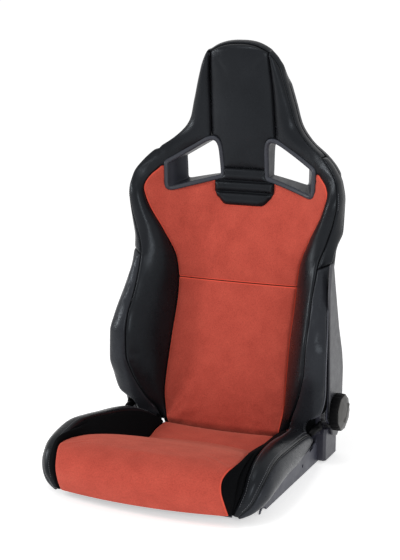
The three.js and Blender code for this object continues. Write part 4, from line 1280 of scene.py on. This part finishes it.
pad(seat_insert, puff=5, spread=38, roll=4, press=RED_PRESS, detail=roll_creases)
finished(seat_insert, SUEDE, "seat_base", "suede", "seat_insert", fill=0.8)
pad(seat_inner, puff=2, spread=12, roll=3)
both(seat_inner, CLOTH, "seat_base", "bolster_cloth", "seat_bolster_inner", fill=0.7)
pad(seat_top, puff=3, spread=12, roll=3.5, press=LEATHER_PRESS)
both(seat_top, LEATHER, "seat_base", "leather", "seat_bolster", fill=0.8)
pad(seat_flank, puff=2, spread=14, roll=3.5, press=(3.0, 4.0))
both(seat_flank, LEATHER_WRINKLED_LIT, "seat_base", "leather", "seat_side", fill=0.7)


# ---------- topstitching and piping
THREAD_LIFT = 0.3


def on_cover(obj, line):
    """The places and normals just above a cover that lie nearest to a line of points."""
    places, normals = [], []
    for point in line:
        _, place, normal, _ = obj.closest_point_on_mesh(Vector(point) * MM)
        places.append(np.array(place) / MM + THREAD_LIFT * np.array(normal))
        normals.append(np.array(normal))
    return places, normals


def topstitch(name, cover, line, body):
    both(stitches(name, *on_cover(cover, line)), THREAD, body, "leather")


def side_line(offset, low, high):
    """A line on the side panel, offset from the ridge seam towards the rear."""
    line = []
    for z in np.arange(low, high, 6):
        a, b = RIDGE_LINE(z), EDGE_LINE(z)
        line.append(mix(a, b, min(0.5, offset(z) / np.linalg.norm(b - a))))
    return line


def cushion_line(i, share, start, end):
    """A line above cushion strip i, at a share of its width."""
    return [
        mix(CUSHION_LINES[i](v), CUSHION_LINES[i + 1](v), share) + cushion_normal(i, v) * 12
        for v in np.linspace(start, end, 90)
    ]


lumbar_gap = through([(70, 3), (130, 8), (200, 11), (WAIST_Z, 9)])
topstitch("right_lumbar_stitches", lumbar, side_line(lumbar_gap, 84, WAIST_Z - 6), "backrest")
shoulder_line = side_line(lambda z: 5, WAIST_Z + 8, STRIP_Z - 40)
topstitch("right_shoulder_stitches", shoulder_strip, shoulder_line, "backrest")
topstitch("right_seat_top_stitches", seat_top, cushion_line(TOP, 0.1, 0.04, 0.94), "seat_base")
topstitch("right_seat_edge_stitches", seat_top, cushion_line(TOP, 0.9, 0.06, 0.94), "seat_base")

BEAD_DEPTH = 7
BEAD_RADIUS = 3.0
FOOT_BEAD_RADIUS = 8
LINE_FOOT = 62  # the backrest's lines start at this height


def seam_bead(name, line, body):
    """The sewn bead at the bottom of a seam."""
    sunk = [p - BEAD_DEPTH * np.array(seam_normal(SEWING, Vector(p) * MM, Vector(FRONT))) for p in line]
    both(tube(name, sunk, BEAD_RADIUS), CLOTH, body, "bolster_cloth")


def carried_down(line, foot, heights):
    """Points of a backrest line, carried on below its foot as the covers are."""
    low = [max(LINE_FOOT, z) for z in heights]
    return [line(k) + vec(0, 0.6 * max(0, foot - z), z - k) for z, k in zip(heights, low)]


seam_bead("right_insert_bead", carried_down(SEAM_LINE, COVER_FOOT["seam"], range(34, 655, 8)), "backrest")
seam_bead("right_ridge_bead", [RIDGE_LINE(z) for z in range(66, 897, 8)], "backrest")
foot = [p + vec(0, 9, 0) for p in carried_down(RIDGE_LINE, COVER_FOOT["ridge"], range(56, 86, 4))]
both(tube("right_foot_bead", foot, FOOT_BEAD_RADIUS), CLOTH, "backrest", "bolster_cloth")
seam_bead("right_head_bead", [HEAD_LINE(z) for z in range(752, 930, 8)], "backrest")
for line, side in ((INSERT_LINE, "insert"), (BOLSTER_LINE, "bolster"), (PIPING_LINE, "outer")):
    seam_bead("right_seat_%s_bead" % side, [line(v) for v in np.linspace(0.01, 0.97, 90)], "seat_base")

PIPING_RADIUS = 1.9
PIPING_DEPTH = 2.4
piped = [
    PIPING_LINE(v) - PIPING_DEPTH * unit(cushion_normal(TOP, v) + cushion_normal(FLANK_STRIP, v))
    for v in np.linspace(0.02, 0.985, 120)
]
both(tube("right_seat_piping", piped, PIPING_RADIUS), PIPING, "seat_base", "leather")


# ---------- rear edge of the side panels
cover_front = through([(60, 172), (108, 168), (188, 160), (274, 155), (399, 149), (470, 158)])
GUSSET = (42, 404)
GUSSET_TURN = 92  # below this height the gusset becomes a curtain inboard of the recliner bracket
GUSSET_HOLLOW = 3
GUSSET_REAR_X = 254.5  # just inside the recliner cover

def gusset_surface(u, v):
    """From the side panel's rear edge to the recliner cover, and lower down to the bracket's inner face."""
    z = mix(*GUSSET, v)
    drop = max(0, GUSSET_TURN - z)
    front = EDGE_LINE(z + drop) + vec(-3 - 2.1 * min(24, drop), 3 + min(24, drop), -drop)
    rear = vec(GUSSET_REAR_X, max(cover_front(z) + 5, front[1] + 6), z)
    lift = smooth(76, 84, z)
    inboard = vec(mix(225, 233.5, lift), mix(149, 151.5, lift), z)
    rear[0] = mix(rear[0], inboard[0], smooth(122, 110, z))
    rear[1] = mix(rear[1], inboard[1], smooth(132, 120, z))
    return mix(front, rear, u) + vec(-GUSSET_HOLLOW * 4 * u * (1 - u), 0, 0)


gusset = make_object("right_rear_gusset", *grid(gusset_surface, 6, 60))
face_outwards(gusset, (1, 0, 0))
thicken(gusset, SKIN)
both(gusset, CLOTH, "backrest", "bolster_cloth")
trim_line = [EDGE_LINE(z) + vec(-1.5, 5.5, 0) for z in np.arange(112, 446, 6)]
both(tube("right_edge_trim", trim_line, 1.8), TRIM_GREY, "backrest", "bezel_plastic")


# A cloth that closes the gap between the cushion and the backrest, seen from above.
CLOSING_CLOTH = [[100, 30], [150, 21], [198, 19.6], [198, 18], [150, 19.4], [100, 28.4]]
closing = plate("seat_closing_cloth", [np.array(CLOSING_CLOTH, float)], -214, 214, bevel=0.3)
finished(closing, CLOTH, "seat_base", "bolster_cloth")


# ---------- recliner mouldings
# Outlines as (y, z): one foot around the recliner with two tips, the tall one on the right.
COVER_FOOT_LINE = [[160, 188], [168, 108], [188, 60], [222, 48], [250, 78], [255, 145], [257, 205]]
TALL_TIP = [[249, 245], [221, 312], [188, 420], [174, 470], [158, 470], [149, 399], [155, 274]]
SHORT_TIP = [[247, 262], [228, 306], [200, 328], [176, 324], [165, 284]]
COVER_X = (256.7, 263.1)
SHAFT_HOLE = 7.5
SHAFT_RING = [
    (PIVOT[0] + SHAFT_HOLE * math.cos(a), PIVOT[1] + SHAFT_HOLE * math.sin(a))
    for a in np.linspace(0, 2 * math.pi, 24)[:-1]
]


def recliner_cover(name, tip):
    return plate(name, [rounded([*COVER_FOOT_LINE, *tip], 12), SHAFT_RING], *COVER_X, bevel=2.4)


right_cover = recliner_cover("right_tall_cover", TALL_TIP)
finished(right_cover, COVER_PLASTIC, "backrest", "cover_plastic", "right_recliner_cover")
mould = recliner_cover("short_cover_mould", SHORT_TIP)
left_cover = mirror_copy(mould, "left_short_cover")
bpy.data.objects.remove(mould)
finished(left_cover, COVER_PLASTIC, "backrest", "cover_plastic", "left_recliner_cover")


STOP_BOSSES = (((237, 141, 86), (9, 24, 8)), ((243, 153, 89), (6, 11, 13)), ((234, 127, 80), (8, 12, 7)))


def stop_hook():
    """The lumpy stop moulding in front of the recliner, run together from three bosses."""
    bm = bmesh.new()
    for centre, size in STOP_BOSSES:
        shape = Matrix.Translation(Vector(centre) * MM) @ Matrix.Diagonal((*[MM * k for k in size], 1))
        bmesh.ops.create_icosphere(bm, subdivisions=4, radius=1, matrix=shape)
    mesh = bpy.data.meshes.new("right_stop_moulding")
    bm.to_mesh(mesh)
    bm.free()
    obj = link("right_stop_moulding", mesh)
    modify(obj, "REMESH", mode="VOXEL", voxel_size=0.0016, use_smooth_shade=True)
    modify(obj, "SMOOTH", factor=0.5, iterations=16)
    evaluated = obj.evaluated_get(bpy.context.evaluated_depsgraph_get())
    obj.data = bpy.data.meshes.new_from_object(evaluated)
    obj.modifiers.clear()
    return obj


both(stop_hook(), KNOB_BLACK, "seat_base", "bracket_plastic", "stop_hook")
SLOT = [[96, 30], [152, 34], [152, 50], [96, 47]]  # the slot in the side plate, as (y, z)
slot_plug = plate("right_slot_plug", [rounded(SLOT, 4)], 224, 227.8, bevel=0.8)
both(slot_plug, KNOB_BLACK, "seat_base", "bracket_plastic")


BRACKET_X = 255  # outer face
BRACKET_CUT = 5  # chamfer of its front corners
BRACKET_RINGS = (
    (3, 160, 224, 236), (5, 158, 223, 238), (52, 158, 223, 238), (66, 160, 229, 228), (78, 167, 236, 222),
)  # height, front y, inner x and back y


def bracket_cover():
    """The chamfered block that clips over the side plate below the recliner."""
    rings = []
    for z, front, inner, back in BRACKET_RINGS:
        cut = front + BRACKET_CUT
        rings.append(np.array([
            (inner, cut, z), (inner + 4, front, z), (BRACKET_X - 5, front, z), (BRACKET_X, cut, z),
            (BRACKET_X, back, z), (inner, back, z),
        ], float))
    return flat_faced(loft("right_bracket_moulding", rings), 0.3)


both(bracket_cover(), BRACKET_PLASTIC, "seat_base", "bracket_plastic", "bracket_cover")
# The thin lip that stands up from its front, as (y, z).
LIP = [[157.4, 82], [157.4, 111], [160, 113], [161, 84], [163, 80], [163, 40], [160.2, 40], [160.2, 78]]
lip = plate("right_bracket_lip", [rounded(LIP, 0.8)], 216, 240.5, bevel=0.5)
both(lip, BRACKET_PLASTIC, "seat_base", "bracket_plastic")


# ---------- recline knob
def spun(name, profile, radius_at, sides):
    """A body about the knob's axis from (x, share of radius) rings."""
    rings = []
    for x, share in profile:
        ring = []
        for k in range(sides):
            a = 2 * math.pi * k / sides
            r = share * radius_at(a)
            ring.append((x, PIVOT[0] + r * math.cos(a), PIVOT[1] + r * math.sin(a)))
        rings.append(np.array(ring))
    return loft(name, rings)


KNOB_RADIUS = 43.6
NOTCH = 1.2  # depth of the finger notches around the rim
HALF_NOTCHES = 10
CAP_RADIUS = 42
CAP_SIDES = 9
GRIP_TURN = -0.6
RIM = [
    (264.4, 0.3), (264.4, 0.94), (265.2, 0.985), (267, 1),
    (281.5, 1), (283.6, 0.985), (284.6, 0.94), (284.6, 0.3),
]
CAP = [(283.8, 0.97), (286.4, 1.0), (291.6, 0.66), (294.2, 0.36), (294.6, 0.32)]
GRIP = [[-4, -24], [4, -24], [3, 24], [-3, 24]]

rim = spun("recline_knob_rim", RIM, lambda a: KNOB_RADIUS - NOTCH * math.cos(HALF_NOTCHES * a) ** 8, 160)
finished(rim, KNOB_BLACK, "recline_drive", "knob_black", "knob_rim")
cap = flat_faced(spun("recline_knob_cap", CAP, lambda a: CAP_RADIUS, CAP_SIDES), 0.2)
finished(cap, KNOB_GREY, "recline_drive", "knob_grey", "knob_cap")
bar = plate("recline_knob_grip", [rounded(GRIP, 2.6)], 288, 296, bevel=1.6)
bar.data.transform(Matrix.Translation((0, PIVOT[0] * MM, PIVOT[1] * MM)) @ Matrix.Rotation(GRIP_TURN, 4, "X"))
finished(bar, KNOB_GREY, "recline_drive", "knob_grey")


# ---------- finish of the CAD parts that stay
STAYING = (  # material, nodes, and nodes that are there on both sides
    (FOAM, "seat_foam back_foam head_foam", "seat_bolster_foam back_bolster_foam"),
    (PAINTED, "seat_pan front_cross_tube rear_cross_tube frame_foot_tube", "side_plate frame_post"),
    (PAINTED, "frame_cross_tube_lower frame_cross_tube_upper", "recliner_bracket recliner_arm"),
    (STEEL, "cross_shaft", "recliner_disc"),
)
for material, single, paired in STAYING:
    names = single.split() + [side + name for side in ("left_", "right_") for name in paired.split()]
    for name in names:
        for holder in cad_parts[name].material_slots:
            holder.link = "OBJECT"
            holder.material = material


# ---------- studio
def add_floor():
    bm = bmesh.new()
    bmesh.ops.create_circle(bm, cap_ends=True, radius=45, segments=64)
    mesh = bpy.data.meshes.new("studio_floor")
    bm.to_mesh(mesh)
    bm.free()
    floor = link("studio_floor", mesh)
    floor.location.z = -0.001
    paper = Nodes("studio_floor").set(
        Base_Color=(0.9, 0.9, 0.9, 1), Roughness=0.9, Specular_IOR_Level=0.0,
        Emission_Color=(1, 1, 1, 1), Emission_Strength=0.48,
    )
    floor.data.materials.append(paper)


def add_world(ambient):
    """White to the camera and in reflections, softer for the light that falls on the seat."""
    world = bpy.data.worlds.new("studio")
    bpy.context.scene.world = world
    world.use_nodes = True
    tree = world.node_tree
    background = tree.nodes["Background"]
    background.inputs["Color"].default_value = (1, 1, 1, 1)
    path = tree.nodes.new("ShaderNodeLightPath")
    seen = path.outputs["Is Camera Ray"]
    for ray in ("Is Glossy Ray", "Is Transmission Ray"):
        either = tree.nodes.new("ShaderNodeMath")
        either.operation = "MAXIMUM"
        tree.links.new(seen, either.inputs[0])
        tree.links.new(path.outputs[ray], either.inputs[1])
        seen = either.outputs[0]
    strength = tree.nodes.new("ShaderNodeMix")
    strength.inputs["A"].default_value = ambient
    strength.inputs["B"].default_value = 1.0
    tree.links.new(seen, strength.inputs["Factor"])
    tree.links.new(strength.outputs["Result"], background.inputs["Strength"])


def add_light(name, at, target, size, power):
    data = bpy.data.lights.new(name, "AREA")
    lamp = link(name, assign(data, shape="RECTANGLE", size=size[0], size_y=size[1], energy=power))
    lamp.location = at
    lamp.rotation_euler = (Vector(target) - Vector(at)).to_track_quat("-Z", "Y").to_euler()


add_floor()
add_world(ambient=0.62)
add_light("left", (-2.9, -1.2, 1.5), (0, 0, 0.5), (0.3, 0.9), 46)
add_light("front", (1.9, -2.6, 1.4), (0, 0, 0.4), (0.35, 0.7), 33)
add_light("top", (-0.2, -0.9, 3.0), (0, 0, 0.4), (0.7, 0.25), 12)
bpy.context.scene.view_settings.view_transform = "Standard"
